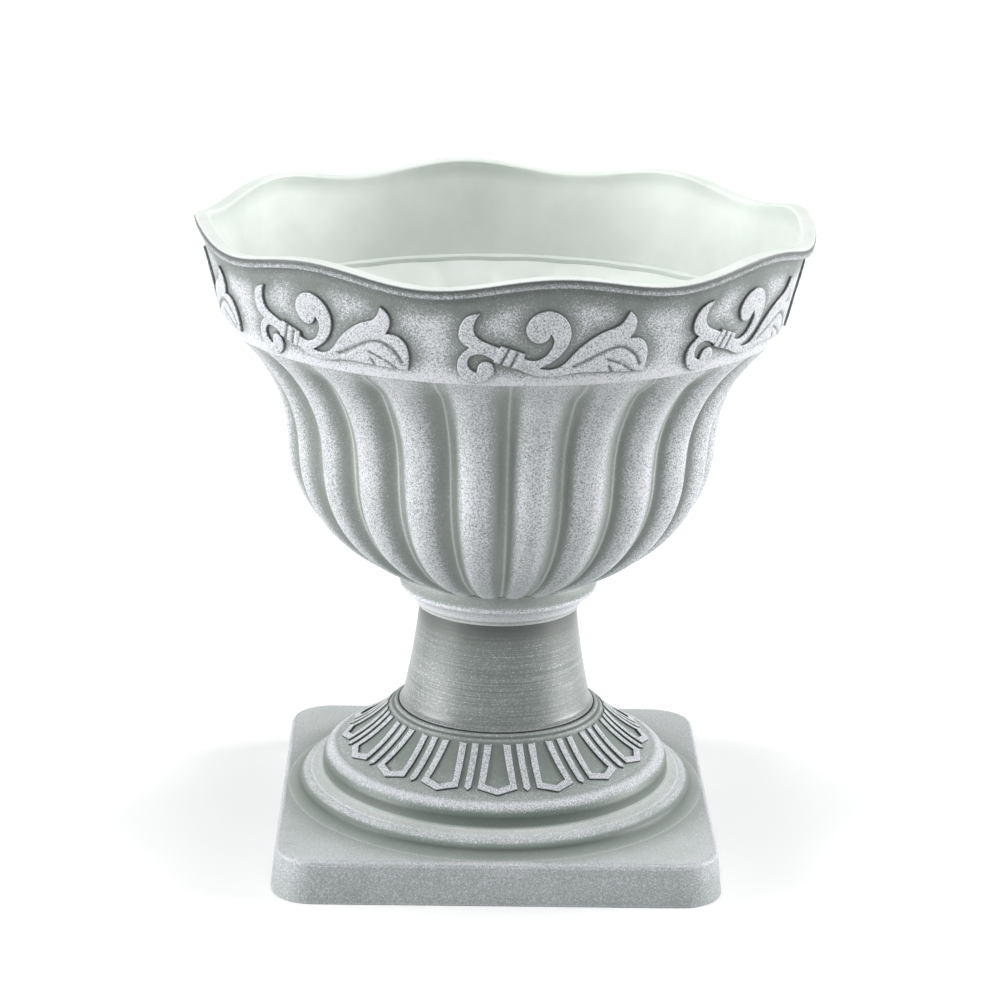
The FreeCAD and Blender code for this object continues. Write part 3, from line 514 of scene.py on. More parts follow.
def plate(outline, proud, white, grooves=(), cell=1.0, bevel=0.35, wall=0.3):
    """A raised shape, as flat points (across, up, height), with marks, and its faces.

    Its side walls stand on the outline, its edge is bevelled, and each groove is (line, width).
    White is the spray on its top, and wall is the dark half-way up its side: glaze and painted
    shade.
    """
    rim = inset(outline, bevel)
    made = bmesh.new()
    rim_points = [made.verts.new((*spot, 0.0)) for spot in rim]
    made.faces.new(rim_points).normal_update()
    bmesh.ops.triangulate(made, faces=made.faces[:], ngon_method="EAR_CLIP")
    low, high = rim.min(0), rim.max(0)
    for axis in (0, 1):
        direction = Vector((1.0 - axis, float(axis), 0.0))
        for place in np.arange(low[axis] + cell / 2, high[axis], cell):
            bmesh.ops.bisect_plane(made, geom=made.verts[:] + made.edges[:] + made.faces[:],
                                   plane_co=direction * place, plane_no=direction)
    made.verts.index_update()
    top = np.array([vertex.co[:2] for vertex in made.verts])
    faces = [[vertex.index for vertex in face.verts] for face in made.faces]
    edges = [[vertex.index for vertex in edge.verts] for edge in made.edges if edge.is_boundary]
    made.free()

    depth = distance_to(top, outline)
    height = proud * (0.9 + 0.1 * np.clip(depth / 1.5, 0, 1))
    spray = white + 0.08 * np.exp(-depth / 0.8)
    glaze_and_shade = np.zeros(len(top))
    # Grooves sink and darken: glaze and painted shade in them.
    for line, width in grooves:
        near = np.exp(-(distance_to(top, np.array(line, float), False) / (0.5 * width)) ** 2)
        height -= 0.55 * proud * near
        spray -= 0.4 * near
        glaze_and_shade = np.maximum(glaze_and_shade, 0.6 * near)
    points = [np.column_stack([top, height, spray, glaze_and_shade, np.zeros(len(top))])]
    links = {}
    for start, end in edges:
        links.setdefault(start, []).append(end)
        links.setdefault(end, []).append(start)
    loop = [0]
    while len(loop) < len(edges):
        options = [other for other in links[loop[-1]] if len(loop) < 2 or other != loop[-2]]
        loop.append(options[0])
    loop = np.array(loop)
    if signed_area(top[loop]) < 0:
        loop = loop[::-1]
    if signed_area(outline) < 0:
        outline = outline[::-1]
    foot = nearest_on(top[loop], outline)
    # The side walls darken towards their foot: painted shade, with glaze.
    levels = ((0.75 * proud, 0.3, wall - 0.25), (0.35 * proud, 0.2, wall),
              (-SUNK, 0.0, wall + 0.25))
    first = len(top)
    previous = loop
    for marks in levels:
        row = np.zeros((len(foot), 6))
        row[:, :2] = foot
        row[:, 2:5] = marks
        points.append(row)
        current = first + np.arange(len(foot))
        faces += np.stack([previous, current, np.roll(current, -1), np.roll(previous, -1)],
                          1).tolist()
        previous = current
        first += len(foot)
    faces.append(previous[::-1].tolist())
    return np.concatenate(points), faces


def spread(shapes):
    """Several shapes' points and faces as one."""
    points, faces, start = [], [], 0
    for spots, sides in shapes:
        points.append(spots)
        faces += [[start + corner for corner in side] for side in sides]
        start += len(spots)
    return np.concatenate(points), faces


def slope_height(radius):
    """Height of the hollow slope at a radius."""
    spots = np.vstack([SLOPE_FOOT, arc(SLOPE_FOOT, (59.8, 70.7), SLOPE_HOLLOW, -1, 40)])
    return np.interp(radius, spots[::-1, 0], spots[::-1, 1])


def on_slope(shape, turn):
    """A flat shape laid on the slope: its up is the distance from the axis."""
    points, faces = shape
    laid = points.copy()
    across, out = points[:, 0], points[:, 1]
    radius = np.hypot(across, out)
    angle = np.arctan2(across, out) + turn
    steep = (slope_height(radius + 0.5) - slope_height(radius - 0.5))
    length = np.sqrt(1 + steep ** 2)
    radius = radius - points[:, 2] * steep / length
    laid[:, 2] = slope_height(np.hypot(across, out)) + points[:, 2] / length
    laid[:, 0] = radius * np.sin(angle)
    laid[:, 1] = -radius * np.cos(angle)
    return laid, faces


TONGUE = [(7.2, 61.0), (11.0, 83.5), (0.0, 88.0), (-11.0, 83.5), (-7.2, 61.0), (-3.0, 61.0),
          (-6.8, 80.98), (0.0, 83.8), (6.8, 80.98), (3.0, 61.0)]
DART = [(1.9, 61.0), (1.9, 83.6), (0.0, 85.5), (-1.9, 83.6), (-1.9, 61.0)]
TONGUES = 16
PROUD = 1.7
tongue_plate, dart_plate = (plate(even_outline(corners), PROUD, 0.62, cell=2.5, bevel=0.25, wall=0.9)
                            for corners in (TONGUE, DART))
ornaments = []
for index in range(TONGUES):
    turn = index * 2 * math.pi / TONGUES
    ornaments.append(on_slope(tongue_plate, turn))
    ornaments.append(on_slope(dart_plate, turn + math.pi / TONGUES))
piece("tongues_and_darts", *spread(ornaments), base_paint)


# ---- stem -------------------------------------------------------------------------------------
# The waisted stem between base and bowl: a turned hollow shell. Its white was wiped on and off
# round the turning, so it shows fine level streaks. Under the bowl's collar it carries a painted
# shadow of the bowl, and just above the base painted shade.

STEM_HEIGHT = 59.7
STEM_BORE = 38.0
STEM_CORNERS = [
    (49.5, -12.3, 0.0, 1.0),
    (52.5, -12.3, 0.0, 1.0),
    (52.5, -0.3, 0.0, 0.0),
    (55.4, -0.1, 0.0, 0.0),
    (55.6, 0.7, 0.1, 0.0, 5.0, -1),
    (53.4, 3.6, 0.2, 0.0, 480.0, -1),
    (44.5, STEM_HEIGHT, 0.15, 0.0),
    (STEM_BORE, STEM_HEIGHT, 0.0, 1.0),
    (STEM_BORE, 56.7, 0.0, 1.0),
    (41.5, 56.7, 0.0, 1.0),
    (49.5, 3.6, 0.0, 1.0),
]
stem_profile = turned_profile(STEM_CORNERS)
stem_outside = (stem_profile[:, 4] < 0.01) & (stem_profile[:, 1] > 0.5)
under_collar = STEM_HEIGHT - stem_profile[:, 1]
# Painted shadow of the bowl, darkest just under the collar, and painted shade just above the base.
stem_profile[:, 3] += stem_outside * (0.8 * np.exp(-(under_collar / 9.0) ** 2)
                                      + 0.25 * np.exp(-(under_collar / 22.0) ** 2)
                                      + 0.3 * np.exp(-(stem_profile[:, 1] / 12.0) ** 2))
# A dark joint line where the stem's foot meets the base.
stem_profile[:, 3] += 0.9 * np.exp(-(stem_profile[:, 1] / 0.5) ** 2)
stem_profile[:, 1] += NECK_HEIGHT


def pierced(radius, low, high, holes):
    """A flat disc from low to high, with round holes given as (across, along, radius)."""
    loops = []
    for across, along, size in [(0.0, 0.0, radius)] + holes:
        sides = 96 if size == radius else 40
        turn = np.arange(sides) * 2 * math.pi / sides
        loops.append(np.stack([across + size * np.sin(turn), along - size * np.cos(turn)], 1))
    flat = np.concatenate(loops)
    total = len(flat)
    top = tessellate_polygon([[Vector((*spot, 0.0)) for spot in loop] for loop in loops])
    faces = []
    for three in top:
        (ax, ay), (bx, by), (cx, cy) = flat[list(three)]
        up = (bx - ax) * (cy - ay) - (by - ay) * (cx - ax) > 0
        corners = list(three) if up else list(three)[::-1]
        faces += [[corner + total for corner in corners], corners[::-1]]
    first = 0
    for number, loop in enumerate(loops):
        here = first + np.arange(len(loop))
        after = np.roll(here, -1)
        walls = np.stack([here, after, after + total, here + total], 1)
        faces += (walls if number == 0 else walls[:, ::-1]).tolist()
        first += len(loop)
    points = np.zeros((2 * total, 6))
    points[:, :2] = np.concatenate([flat, flat])
    points[:total, 2], points[total:, 2] = low, high
    points[:, 5] = 1.0
    return points, faces


BOWL_TURN = math.radians(8.1)
BOLT_HOLE = 3.3
DRAINS = 3
DRAIN_CIRCLE = 26.0
WINDOW = 9.0
windows = [(0.0, 0.0, BOLT_HOLE)]
for index in range(DRAINS):
    turn = BOWL_TURN + index * 2 * math.pi / DRAINS
    windows.append((DRAIN_CIRCLE * math.sin(turn), -DRAIN_CIRCLE * math.cos(turn), WINDOW))
stem_paint = antiqued("stem_paint", 0.8, (90, 101, 93), fleck=222, pits=0.5, varnish=1.0)
bridge = pierced(STEM_BORE, NECK_HEIGHT + 56.7, NECK_HEIGHT + 61.9, windows)
piece("turned_stem", *spread([joined(turned(stem_profile, 280)), bridge]), stem_paint, ["stem"])


# ---- bowl -------------------------------------------------------------------------------------
# The bowl's turned collar and its 24 round lobes, parted by sharp hollows with a fine bead along
# the bottom of each. White paint lies on the lobes, and the hollows stay dark grey-green, with
# painted shade along the bead and on one flank of each lobe.

BOWL_FOOT = 134.0
LOBES = 24
WALL = 3.0
CREST = [(52.5, 17.5), (79.4, 32.0), (105.1, 56.0), (117.9, 84.0), (121.5, 114.0),
         (133.7, 142.0), (153.0, 165.0)]
HOLLOW = 7.3 / 121.5
LEDGE = 165.0
FLOOR_BORE = 38.3
FLOOR_LOW = 2.5
FLOOR_HIGH = 5.5
DRAIN_HOLE = 5.5
BEAD_HEIGHT = 0.7
BEAD_WIDTH = 0.75


def smooth_line(points, count):
    """Points along the smooth curve that runs through the given ones."""
    points = np.array(points, float)
    gaps = np.hypot(*np.diff(points, axis=0).T)
    knots = np.concatenate([[0], np.cumsum(gaps)])
    size = len(points)
    system, right = np.zeros((size, size)), np.zeros((size, 2))
    system[0, 0] = system[-1, -1] = 1
    for index in range(1, size - 1):
        before, after = gaps[index - 1], gaps[index]
        system[index, index - 1:index + 2] = before, 2 * (before + after), after
        right[index] = 6 * ((points[index + 1] - points[index]) / after
                            - (points[index] - points[index - 1]) / before)
    bend = np.linalg.solve(system, right)
    where = np.linspace(0, knots[-1], count)
    index = np.clip(np.searchsorted(knots, where, side="right") - 1, 0, size - 2)
    gap = gaps[index][:, None]
    ahead = (where - knots[index])[:, None] / gap
    behind = 1 - ahead
    return (behind * points[index] + ahead * points[index + 1]
            + ((behind ** 3 - behind) * bend[index] + (ahead ** 3 - ahead) * bend[index + 1])
            * gap ** 2 / 6)


def lobe_columns(spacing):
    """Angles round one lobe after another, close together in the hollows."""
    half = np.concatenate([spacing, -spacing[::-1]])
    half = np.unique(np.round(half, 6))
    half = half[half < 1]
    pitch = 2 * math.pi / LOBES
    return np.concatenate([(index + 0.5 * half) * pitch for index in range(LOBES)])


def lobe_drop(angles):
    """How deep the surface lies under the crest, from 0 on it to 1 in the hollow's middle."""
    pitch = 2 * math.pi / LOBES
    across = np.abs((angles / pitch + 0.5) % 1 - 0.5) * 2
    depth = HOLLOW / (math.pi / LOBES)
    share = 0.76
    crest = (share ** 2 + (share * depth) ** 2) / (2 * share * depth)
    low = 1 - share
    trough = (low ** 2 + (low * depth) ** 2) / (2 * low * depth)
    on_crest = crest - np.sqrt(np.maximum(crest ** 2 - across ** 2, 0))
    in_trough = depth - (trough - np.sqrt(np.maximum(trough ** 2 - (1 - across) ** 2, 0)))
    return np.where(across < share, on_crest, in_trough) / depth, across


columns = lobe_columns(np.array([0, 0.14, 0.28, 0.41, 0.52, 0.61, 0.68, 0.74, 0.79, 0.835,
                                 0.875, 0.91, 0.94, 0.965, 0.985, 1.0]))
drop, across = lobe_drop(columns)
side = (columns * LOBES / (2 * math.pi) + 0.5) % 1 * 2 - 1

TIP_HEIGHT = 18.9
TIP_RISE = 2.2
crest_line = smooth_line(CREST, 90)
slope = np.gradient(crest_line, axis=0)
slope /= np.hypot(*slope.T)[:, None]
inner_line = crest_line + np.stack([-slope[:, 1], slope[:, 0]], 1) * WALL


def eased(value, low, high):
    """0 below low, 1 above high, and a smooth step between them."""
    share = np.clip((value - low) / (high - low), 0, 1)
    return share * share * (3 - 2 * share)


def lobed(height, inner=False):
    """A ring of lobes at a height of their crests, with the paint of its place.

    The lobes end in round tips over the collar, and the hollows run out under the ledge.
    """
    depth = drop * HOLLOW * (1.0 - 0.75 * eased(height, 149.0, 163.5))
    if inner:
        radius = np.interp(height, inner_line[:, 1], inner_line[:, 0])
        return ring(columns, radius * (1 - depth), height, bare=1.0)
    rise = TIP_RISE * drop * np.exp(-((height - TIP_HEIGHT) / 7.0) ** 2)
    radius = np.interp(height + rise, crest_line[:, 1], crest_line[:, 0])
    bead = np.exp(-(((1 - across) * math.pi / LOBES * radius) / BEAD_WIDTH) ** 2)
    radius = radius * (1 - depth) + BEAD_HEIGHT * bead
    reach = np.where(side < 0, 0.79, 0.7)
    flank = np.where(side < 0, 0.26, 0.44)
    worn = np.clip((across - reach + flank) / flank, 0, 1)
    spray = 0.65 - 0.58 * worn ** 1.2
    spray += 0.3 * bead + 0.3 * (1 - bead) * worn * eased(height, 150.0, 164.0)
    foot = np.exp(-((height - TIP_HEIGHT) / 5.0) ** 2)
    spray += 0.3 * foot * (1 - worn)
    # Painted shade: a dark crease beside the bead and a darker band on one flank of each lobe.
    crease = np.exp(-(((1 - across) - 0.17) / 0.11) ** 2) * (side < 0) * (1 - bead)
    shade = 0.2 * np.exp(-(((1 - across) - 0.42) / 0.15) ** 2) * (side > 0)
    glaze_and_shade = (0.5 * crease + shade) * (1 - eased(height, 118.0, 155.0)) * eased(height, 18.0, 45.0)
    return ring(columns, radius, height + rise, spray, glaze_and_shade, 0.22 * worn + 0.5 * bead)


collar = turned_profile([
    (FLOOR_BORE, FLOOR_LOW, 0.0, 1.0),
    (FLOOR_BORE, 0.0, 0.0, 1.0),
    (46.6, 0.0, 0.1, 0.6),
    (46.9, 2.2, 0.3, 0.4),
    (48.3, 2.9, 0.95, 0.3, 14.0, -1),
    (55.6, 10.2, 0.75, 0.05, 3.0, 1),
    (55.9, 12.3, 0.4, 0.1),
    (54.9, 13.2, 0.12, 0.3, 9.0, -1),
    (50.8, 18.2, 0.05, 0.2),
    (45.0, 19.0, 0.0, 1.0),
    (45.0, 5.5, 0.0, 1.0),
], crease=0.7)
collar[:, 3] *= 0.5
outside = [ring(columns, *row) for row in collar if row[1] <= 18.3 and row[0] > 46]
under = [ring(columns, FLOOR_BORE, height, bare=1.0) for height in (FLOOR_LOW, 0.3)]
tips = []
for back, down in ((2.4, 0.1), (0.9, 0.3), (0.2, 0.12)):
    row = lobed(TIP_HEIGHT)
    away = np.hypot(row[:, 0], row[:, 1])
    row[:, :2] *= ((away - back) / away)[:, None]
    row[:, 2] -= down
    row[:, 3] = np.maximum(row[:, 3], 0.75 * (down != 0.1))
    tips.append(row)
rings = under + outside + tips
crest_heights = crest_line[crest_line[:, 1] > TIP_HEIGHT, 1]
rings += [lobed(height) for height in np.concatenate([[TIP_HEIGHT], crest_heights])]
rings += [lobed(height, inner=True) for height in (LEDGE - 0.03, *inner_line[::-1, 1])
          if 20.0 < height < LEDGE]
rings += [ring(columns, radius, height, bare=1.0) for radius, height in (
    (46.0, 16.5), (46.0, 6.0), (45.0, FLOOR_HIGH), (FLOOR_BORE, FLOOR_HIGH))]
for row in rings:
    row[:, 2] += BOWL_FOOT


def turned_by(points, angle):
    """Points turned round the axis."""
    cosine, sine = math.cos(angle), math.sin(angle)
    moved = points.copy()
    moved[:, 0] = points[:, 0] * cosine - points[:, 1] * sine
    moved[:, 1] = points[:, 0] * sine + points[:, 1] * cosine
    return moved


bowl_paint = antiqued("bowl_paint", ground=(138, 147, 141), inner=222)
bowl_points, bowl_faces = joined(rings)
drain_holes = windows[:1] + [(*window[:2], DRAIN_HOLE) for window in windows[1:]]
bowl_floor = pierced(FLOOR_BORE, BOWL_FOOT + FLOOR_LOW, BOWL_FOOT + FLOOR_HIGH, drain_holes)
piece("fluted_bowl", *spread([(turned_by(bowl_points, BOWL_TURN), bowl_faces), bowl_floor]),
      bowl_paint, ["bowl"])


# ---- frieze -----------------------------------------------------------------------------------
# The upright frieze wall above the ledge and the rolled rim, which rises and falls in eight
# waves. The rim's top is rubbed white, a painted shadow lies under it, and a thin line of
# painted shade runs round the scrolls.

FRIEZE_RADIUS = 153.5
FRIEZE_FLARE = 0.25
RIM_RADIUS = 169.98
RIM_INNER = 161.4
RIM_MEAN = 220.79
RIM_WAVE = 3.6
RIM_EDGE = 5.5
RIM_COVE = 4.5
SCROLLS = 8
FINE_COLUMNS = 1152

LEFT_LEAF = [
    [(-37, 40), (-43, 38), (-47.5, 31), (-47, 24.5), (-42.5, 21)],
    [(-42.5, 21), (-47.5, 16), (-49, 10.5), (-46, 3.8), (-40, 1.6), (-33, 3.8), (-30, 9),
     (-32.3, 13.4), (-36.5, 13.2), (-39, 7.5)],
    [(-39, 7.5), (-42.5, 9.5), (-43.5, 14), (-39.5, 17.4), (-28.5, 13.5)],
    [(-28.5, 13.5), (-26, 21)],
    [(-26, 21), (-34, 24), (-39.5, 28), (-40, 34), (-37, 40)],
]
VOLUTE_AND_LEAF = [
    [(-17, 17), (-11.5, 14.6), (-6, 15.6), (-1.5, 20.5), (-0.3, 25.5), (-2, 29)],
    [(-2, 29), (-4, 25.5), (-8, 24), (-13, 27), (-14.5, 32), (-11.3, 38.4), (-4, 41.6), (4, 38),
     (8, 29.5), (6.5, 22), (1, 15), (-7, 10.2)],
    [(-7, 10.2), (-1, 9.6), (5, 12), (10, 17.5), (18, 25), (27, 30), (33, 32.5), (37.5, 39.8)],
    [(37.5, 39.8), (41.5, 35), (41.5, 29.5), (39, 25)],
    [(39, 25), (45, 24.5), (49.5, 20), (50.6, 12), (49.5, 6)],
    [(49.5, 6), (31, 7), (10, 7), (0, 5.4), (-9, 6.2), (-20, 11)],
    [(-20, 11), (-17, 17)],
]
BINDING = [
    [(-30.5, 13.8), (-29, 18), (-26.5, 22.6)],
    [(-26.5, 22.6), (-14.5, 18.4)],
    [(-14.5, 18.4), (-15.8, 14), (-18.5, 9.8)],
    [(-18.5, 9.8), (-30.5, 13.8)],
]
VEIN = smooth_line([(10.5, 10.8), (16.2, 13.5), (21.5, 16.2), (26.9, 18.8), (31.6, 20.2),
                    (36.5, 20.2), (41.1, 17.7), (44.7, 14.0), (46.6, 10.1)], 40)
CUTS = [[(28.3, 14.1), (35.6, 11.4)], [(29.5, 10.2), (31.5, 6.8)], [(37.5, 10.4), (44.2, 5.8)]]
BINDING_CUTS = [[(-22.6, 20.8), (-26.7, 12.3)], [(-18.4, 18.8), (-22.0, 10.3)]]


def drawn(stretches, step=0.8):
    """One outline from smooth stretches that meet in corners."""
    points = []
    for stretch in stretches:
        length = sum(math.dist(a, b) for a, b in zip(stretch, stretch[1:]))
        count = max(3, round(length / step)) + 1
        points.append(smooth_line(stretch, count)[:-1])
    return np.concatenate(points)


leaf_outline, volute_outline, binding_outline = map(drawn, (LEFT_LEAF, VOLUTE_AND_LEAF, BINDING))
SCROLL_MIDDLE = FRIEZE_RADIUS + FRIEZE_FLARE * 21.25

fine = np.arange(FINE_COLUMNS) * 2 * math.pi / FINE_COLUMNS
coarse = fine[::2]
sector = (fine + math.pi / SCROLLS) % (2 * math.pi / SCROLLS) - math.pi / SCROLLS


def crown_at(angles):
    """Height of the rim's top, which rises over the middle of each scroll."""
    return RIM_MEAN + RIM_WAVE * np.cos(SCROLLS * angles)


def frieze_rings():
    """Rings up the wall, over the rim, down inside and back under the ledge."""
    rows = []
    crown = crown_at(fine)
    top = crown - RIM_EDGE - RIM_COVE
    for share in np.concatenate([[0, 0.006, 0.02], np.linspace(0.045, 1, 40)]):
        height = LEDGE + (top - LEDGE) * share
        up = height - LEDGE
        radius = FRIEZE_RADIUS + FRIEZE_FLARE * up
        if share == 0:
            radius = radius - 0.35
        places = np.stack([sector * SCROLL_MIDDLE, up], 1)
        away = np.full(FINE_COLUMNS, 99.0)
        for outline in (leaf_outline, volute_outline, binding_outline):
            away = np.minimum(away, distance_to(places, outline))
        # Less white near the scrolls, a thin line of painted shade round them, and a painted shadow
        # under the rim.
        ground = np.exp(-(away / 6.5) ** 2)
        shade = np.exp(-((top - height) / 5.5) ** 2)
        lower = np.exp(-(up / 6.5) ** 2)
        spray = 0.66 - 0.54 * ground * (1 - lower) - 0.5 * shade + 0.4 * lower
        glaze_and_shade = 0.85 * np.exp(-(away / 0.7) ** 2) * (1 - lower) + 0.2 * shade
        rows.append(ring(fine, radius, height, spray, glaze_and_shade, 0.12 * (ground + shade)))
    cove_radius = FRIEZE_RADIUS + FRIEZE_FLARE * (top - LEDGE)
    edge_radius = RIM_RADIUS - 0.7
    under = (edge_radius - 1.4, crown - RIM_EDGE + 0.3)
    # The cove under the rim carries painted shadow.
    for share in (0.25, 0.5, 0.75, 1.0):
        curve = share ** 2
        rows.append(ring(fine, cove_radius + (under[0] - cove_radius) * curve,
                         top + (under[1] - top) * (1 - (1 - share) ** 2), 0.1, 0.25, 0.05))
    lip = [
        (edge_radius - 0.5, -RIM_EDGE + 0.02, 0.2, 0.4, 0.0),
        (edge_radius, -RIM_EDGE + 0.3, 0.45, 0.15, 0.0),
        (edge_radius + 0.1, -RIM_EDGE + 0.8, 0.5, 0.1, 0.0),
        (edge_radius + 0.3, -RIM_EDGE + 1.8, 0.45, 0.2, 0.0),
        (edge_radius + 0.45, -RIM_EDGE + 2.6, 0.3, 0.4, 0.0),
        (RIM_RADIUS, -2.0, 0.2, 0.65, 0.0),
        (RIM_RADIUS - 0.15, -1.3, 0.2, 0.9, 0.0),
        (RIM_RADIUS - 0.5, -0.7, 0.6, 0.3, 0.3),
        (RIM_RADIUS - 1.1, -0.3, 1.0, 0.0, 0.9),
        (RIM_RADIUS - 2.0, -0.1, 1.0, 0.0, 1.0),
        (RIM_RADIUS - 4.3, 0.0, 1.0, 0.0, 1.0),
        (RIM_INNER + 2.0, -0.12, 1.0, 0.0, 1.0),
        (RIM_INNER + 1.1, -0.3, 1.0, 0.0, 1.0),
        (RIM_INNER + 0.4, -0.8, 1.0, 0.0, 1.0),
        (RIM_INNER, -1.7, 1.0, 0.0, 1.0),
    ]
    for radius, drop_by, *marks in lip:
        angles = coarse if radius < RIM_RADIUS - 3 else fine
        rows.append(ring(angles, radius, crown_at(angles) + drop_by, *marks))
    crown = crown_at(coarse)
    low = crown - 7.0
    for share in (0.2, 0.6, 1.0):
        foot = FRIEZE_RADIUS - WALL + FRIEZE_FLARE * (low - LEDGE)
        rows.append(ring(coarse, RIM_INNER + (foot - RIM_INNER) * share,
                         crown - 1.7 - 5.3 * share, bare=1.0))
    for share in np.linspace(0, 1, 10)[1:]:
        height = low * (1 - share) + (LEDGE + WALL + 0.6) * share
        rows.append(ring(coarse, FRIEZE_RADIUS - WALL + FRIEZE_FLARE * (height - LEDGE),
                         height, bare=1.0))
    rows.append(ring(coarse, FRIEZE_RADIUS - WALL - 0.2, LEDGE + WALL + 0.1, bare=1.0))
    opening = 149.6 * (1 - 0.25 * lobe_drop(coarse)[0] * HOLLOW)
    rows.append(ring(coarse, opening + 0.6, LEDGE + WALL, bare=1.0))
    rows.append(ring(coarse, opening, LEDGE + WALL - 0.6, bare=1.0))
    rows.append(ring(coarse, opening, LEDGE + 0.05, bare=1.0))
    rows.append(ring(coarse, FRIEZE_RADIUS - 4.0, LEDGE + 0.02, 0.1, 0.3))
    rows.append(ring(fine, FRIEZE_RADIUS - 0.8, LEDGE, 0.3, 0.1))
    for row in rows:
        row[:, 2] += BOWL_FOOT
    return rows


frieze_paint = antiqued("frieze_paint", ground=(103, 113, 109), inner=213)
frieze_points, frieze_faces = joined(frieze_rings())
piece("frieze_and_rim", turned_by(frieze_points, BOWL_TURN), frieze_faces, frieze_paint,
      ["frieze"])


# ---- scrolls ----------------------------------------------------------------------------------
# Eight leaf scrolls stand on the frieze, each a curled leaf, a bound stalk with a volute, and a
# long leaf with a carved vein. They are moulded in, and their flat tops carry the white paint.


def on_frieze(shape, turn):
    """A flat shape bent onto the frieze wall."""
    points, faces = shape
    laid = points.copy()
    up = points[:, 1]
    radius = FRIEZE_RADIUS + FRIEZE_FLARE * up + points[:, 2]
    angle = points[:, 0] / SCROLL_MIDDLE + turn
    laid[:, 0] = radius * np.sin(angle)
    laid[:, 1] = -radius * np.cos(angle)
    laid[:, 2] = BOWL_FOOT + LEDGE + up
    # Less of the walls' glaze and painted shade close to the ledge.
    laid[:, 4] *= 1 - 0.6 * np.exp(-(up / 7.0) ** 2)
    return laid, faces


SCROLL_WHITE = 0.69
scroll_shapes = [
    plate(leaf_outline, PROUD, SCROLL_WHITE, cell=1.5),
    plate(volute_outline, PROUD, SCROLL_WHITE, [(VEIN, 1.7)] + [(cut, 1.3) for cut in CUTS]),
    plate(binding_outline, 2.2, SCROLL_WHITE, [(cut, 1.2) for cut in BINDING_CUTS]),
]
scrolls = [on_frieze(shape, index * 2 * math.pi / SCROLLS + BOWL_TURN)
           for index in range(SCROLLS) for shape in scroll_shapes]
piece("leaf_scrolls", *spread(scrolls), frieze_paint)


# ---- fasteners and drain plugs ----------------------------------------------------------------
# A zinc-plated bolt, washer, wing nut and four screws hold bowl, stem and base together. The seal
# under the bolt's head and the three push-in plugs of the drain holes are black rubber.


def plated_zinc():
    """Zinc plate: bluish grey, a little cloudy, with fine turning marks."""
    metal = bpy.data.materials.new("plated_zinc")
    metal.use_nodes = True
    shader = metal.node_tree.nodes["Principled BSDF"]
    shader.inputs["Metallic"].default_value = 1.0
    start = Tone(metal.node_tree)
    place = start.node("ShaderNodeTexCoord", {}, {}, "Object")
    cloud = place.speckle(260.0, 3.0)
    turned_marks = place.stretched(60.0, 5200.0).speckle(1.0, 1.0)
    colour = cloud.rising(0.35, 0.65).between(grey_green(176, 180, 186), grey_green(206, 209, 213))
    colour.feeds(shader, "Base Color")
    (0.26 + cloud * 0.2).feeds(shader, "Roughness")
    turned_marks.bumped(0.2, 0.00005).feeds(shader, "Normal")
    return metal


def drain_rubber():
    """Black rubber with a matt, slightly dusty skin."""
    rubber = bpy.data.materials.new("drain_rubber")
    rubber.use_nodes = True
    shader = rubber.node_tree.nodes["Principled BSDF"]
    start = Tone(rubber.node_tree)
    place = start.node("ShaderNodeTexCoord", {}, {}, "Object")
    dust = place.speckle(420.0, 3.0)
    pores = place.speckle(2600.0, 1.0)
    colour = dust.rising(0.4, 0.7).between(grey_green(34, 35, 36), grey_green(58, 59, 59))
    colour.feeds(shader, "Base Color")
    (0.55 + dust * 0.3).feeds(shader, "Roughness")
    pores.bumped(0.3, 0.00005).feeds(shader, "Normal")
    return rubber


zinc, rubber = plated_zinc(), drain_rubber()
fasteners = {"clamp_bolt": zinc, "flat_washer": zinc, "wing_nut": zinc, "stem_screws": zinc,
             "seal_washer": rubber, "drain_plug_1": rubber, "drain_plug_2": rubber,
             "drain_plug_3": rubber}
for node, finish in fasteners.items():
    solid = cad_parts[node]
    for material_slot in solid.material_slots:
        material_slot.material = finish


# ---- camera, light and floor ------------------------------------------------------------------
# A white sweep with large soft lights at both sides, above and over the camera, seen from the
# photograph's place, a little over the rim.

camera_data = bpy.data.cameras.new("camera")
camera_data.sensor_width = 36.0
camera_data.lens = 109.65
camera = bpy.data.objects.new("camera", camera_data)
bpy.context.scene.collection.objects.link(camera)
bpy.context.scene.camera = camera
camera.location = (-0.0339, -1.6447, 0.6839)
towards = Vector((0.0, 0.0, 0.1933)) - camera.location
facing = towards.to_track_quat("-Z", "Y").to_matrix()
camera.rotation_euler = (facing @ Matrix.Rotation(math.radians(1.13), 3, "Z")).to_euler()
camera_data.clip_end = 100.0

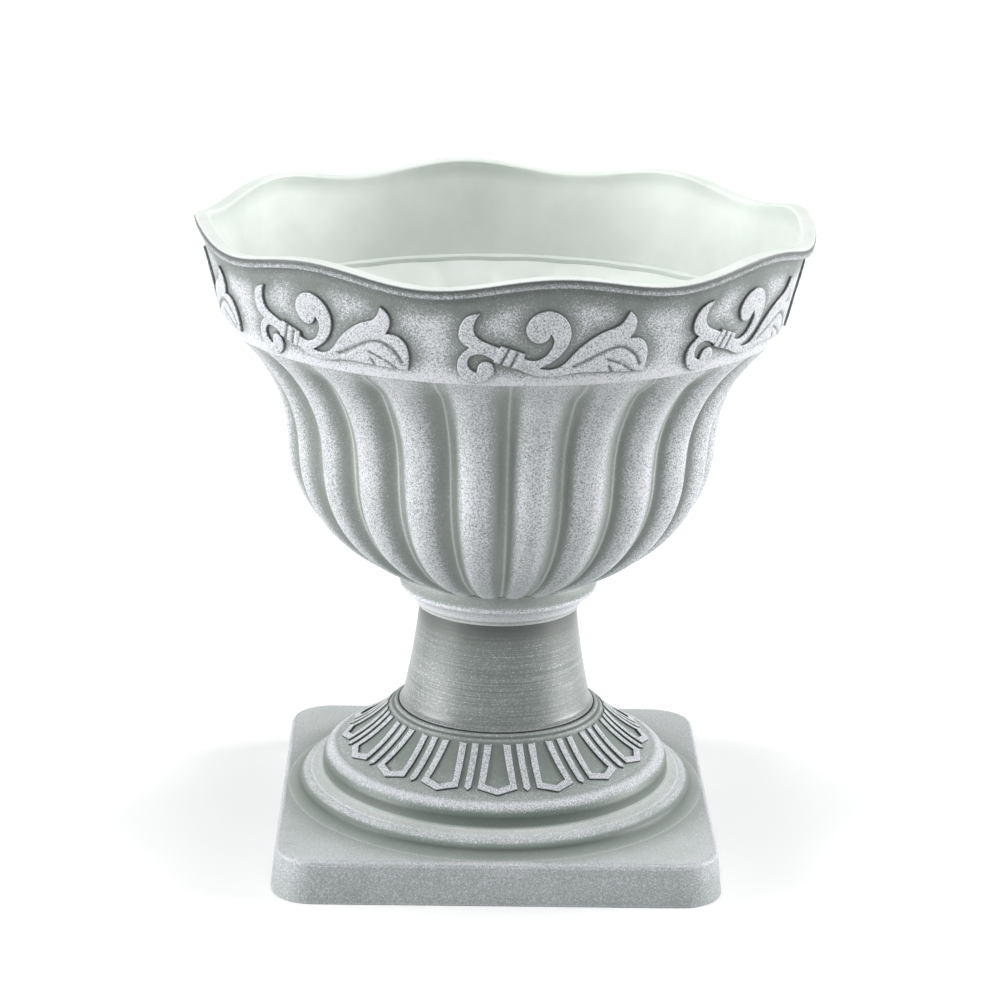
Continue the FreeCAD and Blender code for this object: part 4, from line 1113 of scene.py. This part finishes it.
floor_mesh = bpy.data.meshes.new("floor")
floor_mesh.from_pydata([(-20, -20, 0), (20, -20, 0), (20, 20, 0), (-20, 20, 0)], [],
                       [(0, 1, 2, 3)])
floor = bpy.data.objects.new("floor", floor_mesh)
bpy.context.scene.collection.objects.link(floor)
floor_paper = bpy.data.materials.new("floor_paper")
floor_paper.use_nodes = True
paper = floor_paper.node_tree.nodes["Principled BSDF"]
paper.inputs["Roughness"].default_value = 0.9
start = Tone(floor_paper.node_tree)
seen = start.node("ShaderNodeLightPath", {}, {}, "Is Camera Ray")
mirrored = start.node("ShaderNodeLightPath", {}, {}, "Is Glossy Ray")
sweep = seen.larger(mirrored).between((0.4, 0.41, 0.4, 1.0), (0.98, 0.98, 0.98, 1.0))
sweep.feeds(paper, "Base Color")
floor_mesh.materials.append(floor_paper)


def soft_light(name, azimuth, elevation, power, spread_angle):
    """A wide soft light, from an azimuth counted from the camera's side, in degrees."""
    data = bpy.data.lights.new(name, "SUN")
    data.energy = power
    data.angle = math.radians(spread_angle)
    lamp = bpy.data.objects.new(name, data)
    bpy.context.scene.collection.objects.link(lamp)
    turn, rise = math.radians(azimuth), math.radians(elevation)
    source = Vector((math.sin(turn) * math.cos(rise), -math.cos(turn) * math.cos(rise),
                     math.sin(rise)))
    lamp.rotation_euler = source.to_track_quat("Z", "Y").to_euler()


soft_light("left_softbox", -80.0, 6.0, 3.9, 40.0)
soft_light("right_softbox", 94.0, 6.0, 4.1, 40.0)
soft_light("top_softbox", 180.0, 89.0, 1.8, 50.0)
soft_light("front_softbox", 0.0, 58.0, 0.72, 60.0)
world = bpy.data.worlds.new("studio")
bpy.context.scene.world = world
world.use_nodes = True
start = Tone(world.node_tree)
seen = start.node("ShaderNodeLightPath", {}, {}, "Is Camera Ray")
mirrored = start.node("ShaderNodeLightPath", {}, {}, "Is Glossy Ray")
through = start.node("ShaderNodeLightPath", {}, {}, "Is Transmission Ray")
shown = seen.larger(mirrored.larger(through))
background = world.node_tree.nodes["Background"]
background.inputs["Color"].default_value = (1, 1, 1, 1)
(0.15 + shown * 0.85).feeds(background, "Strength")
bpy.context.scene.view_settings.view_transform = "Standard"
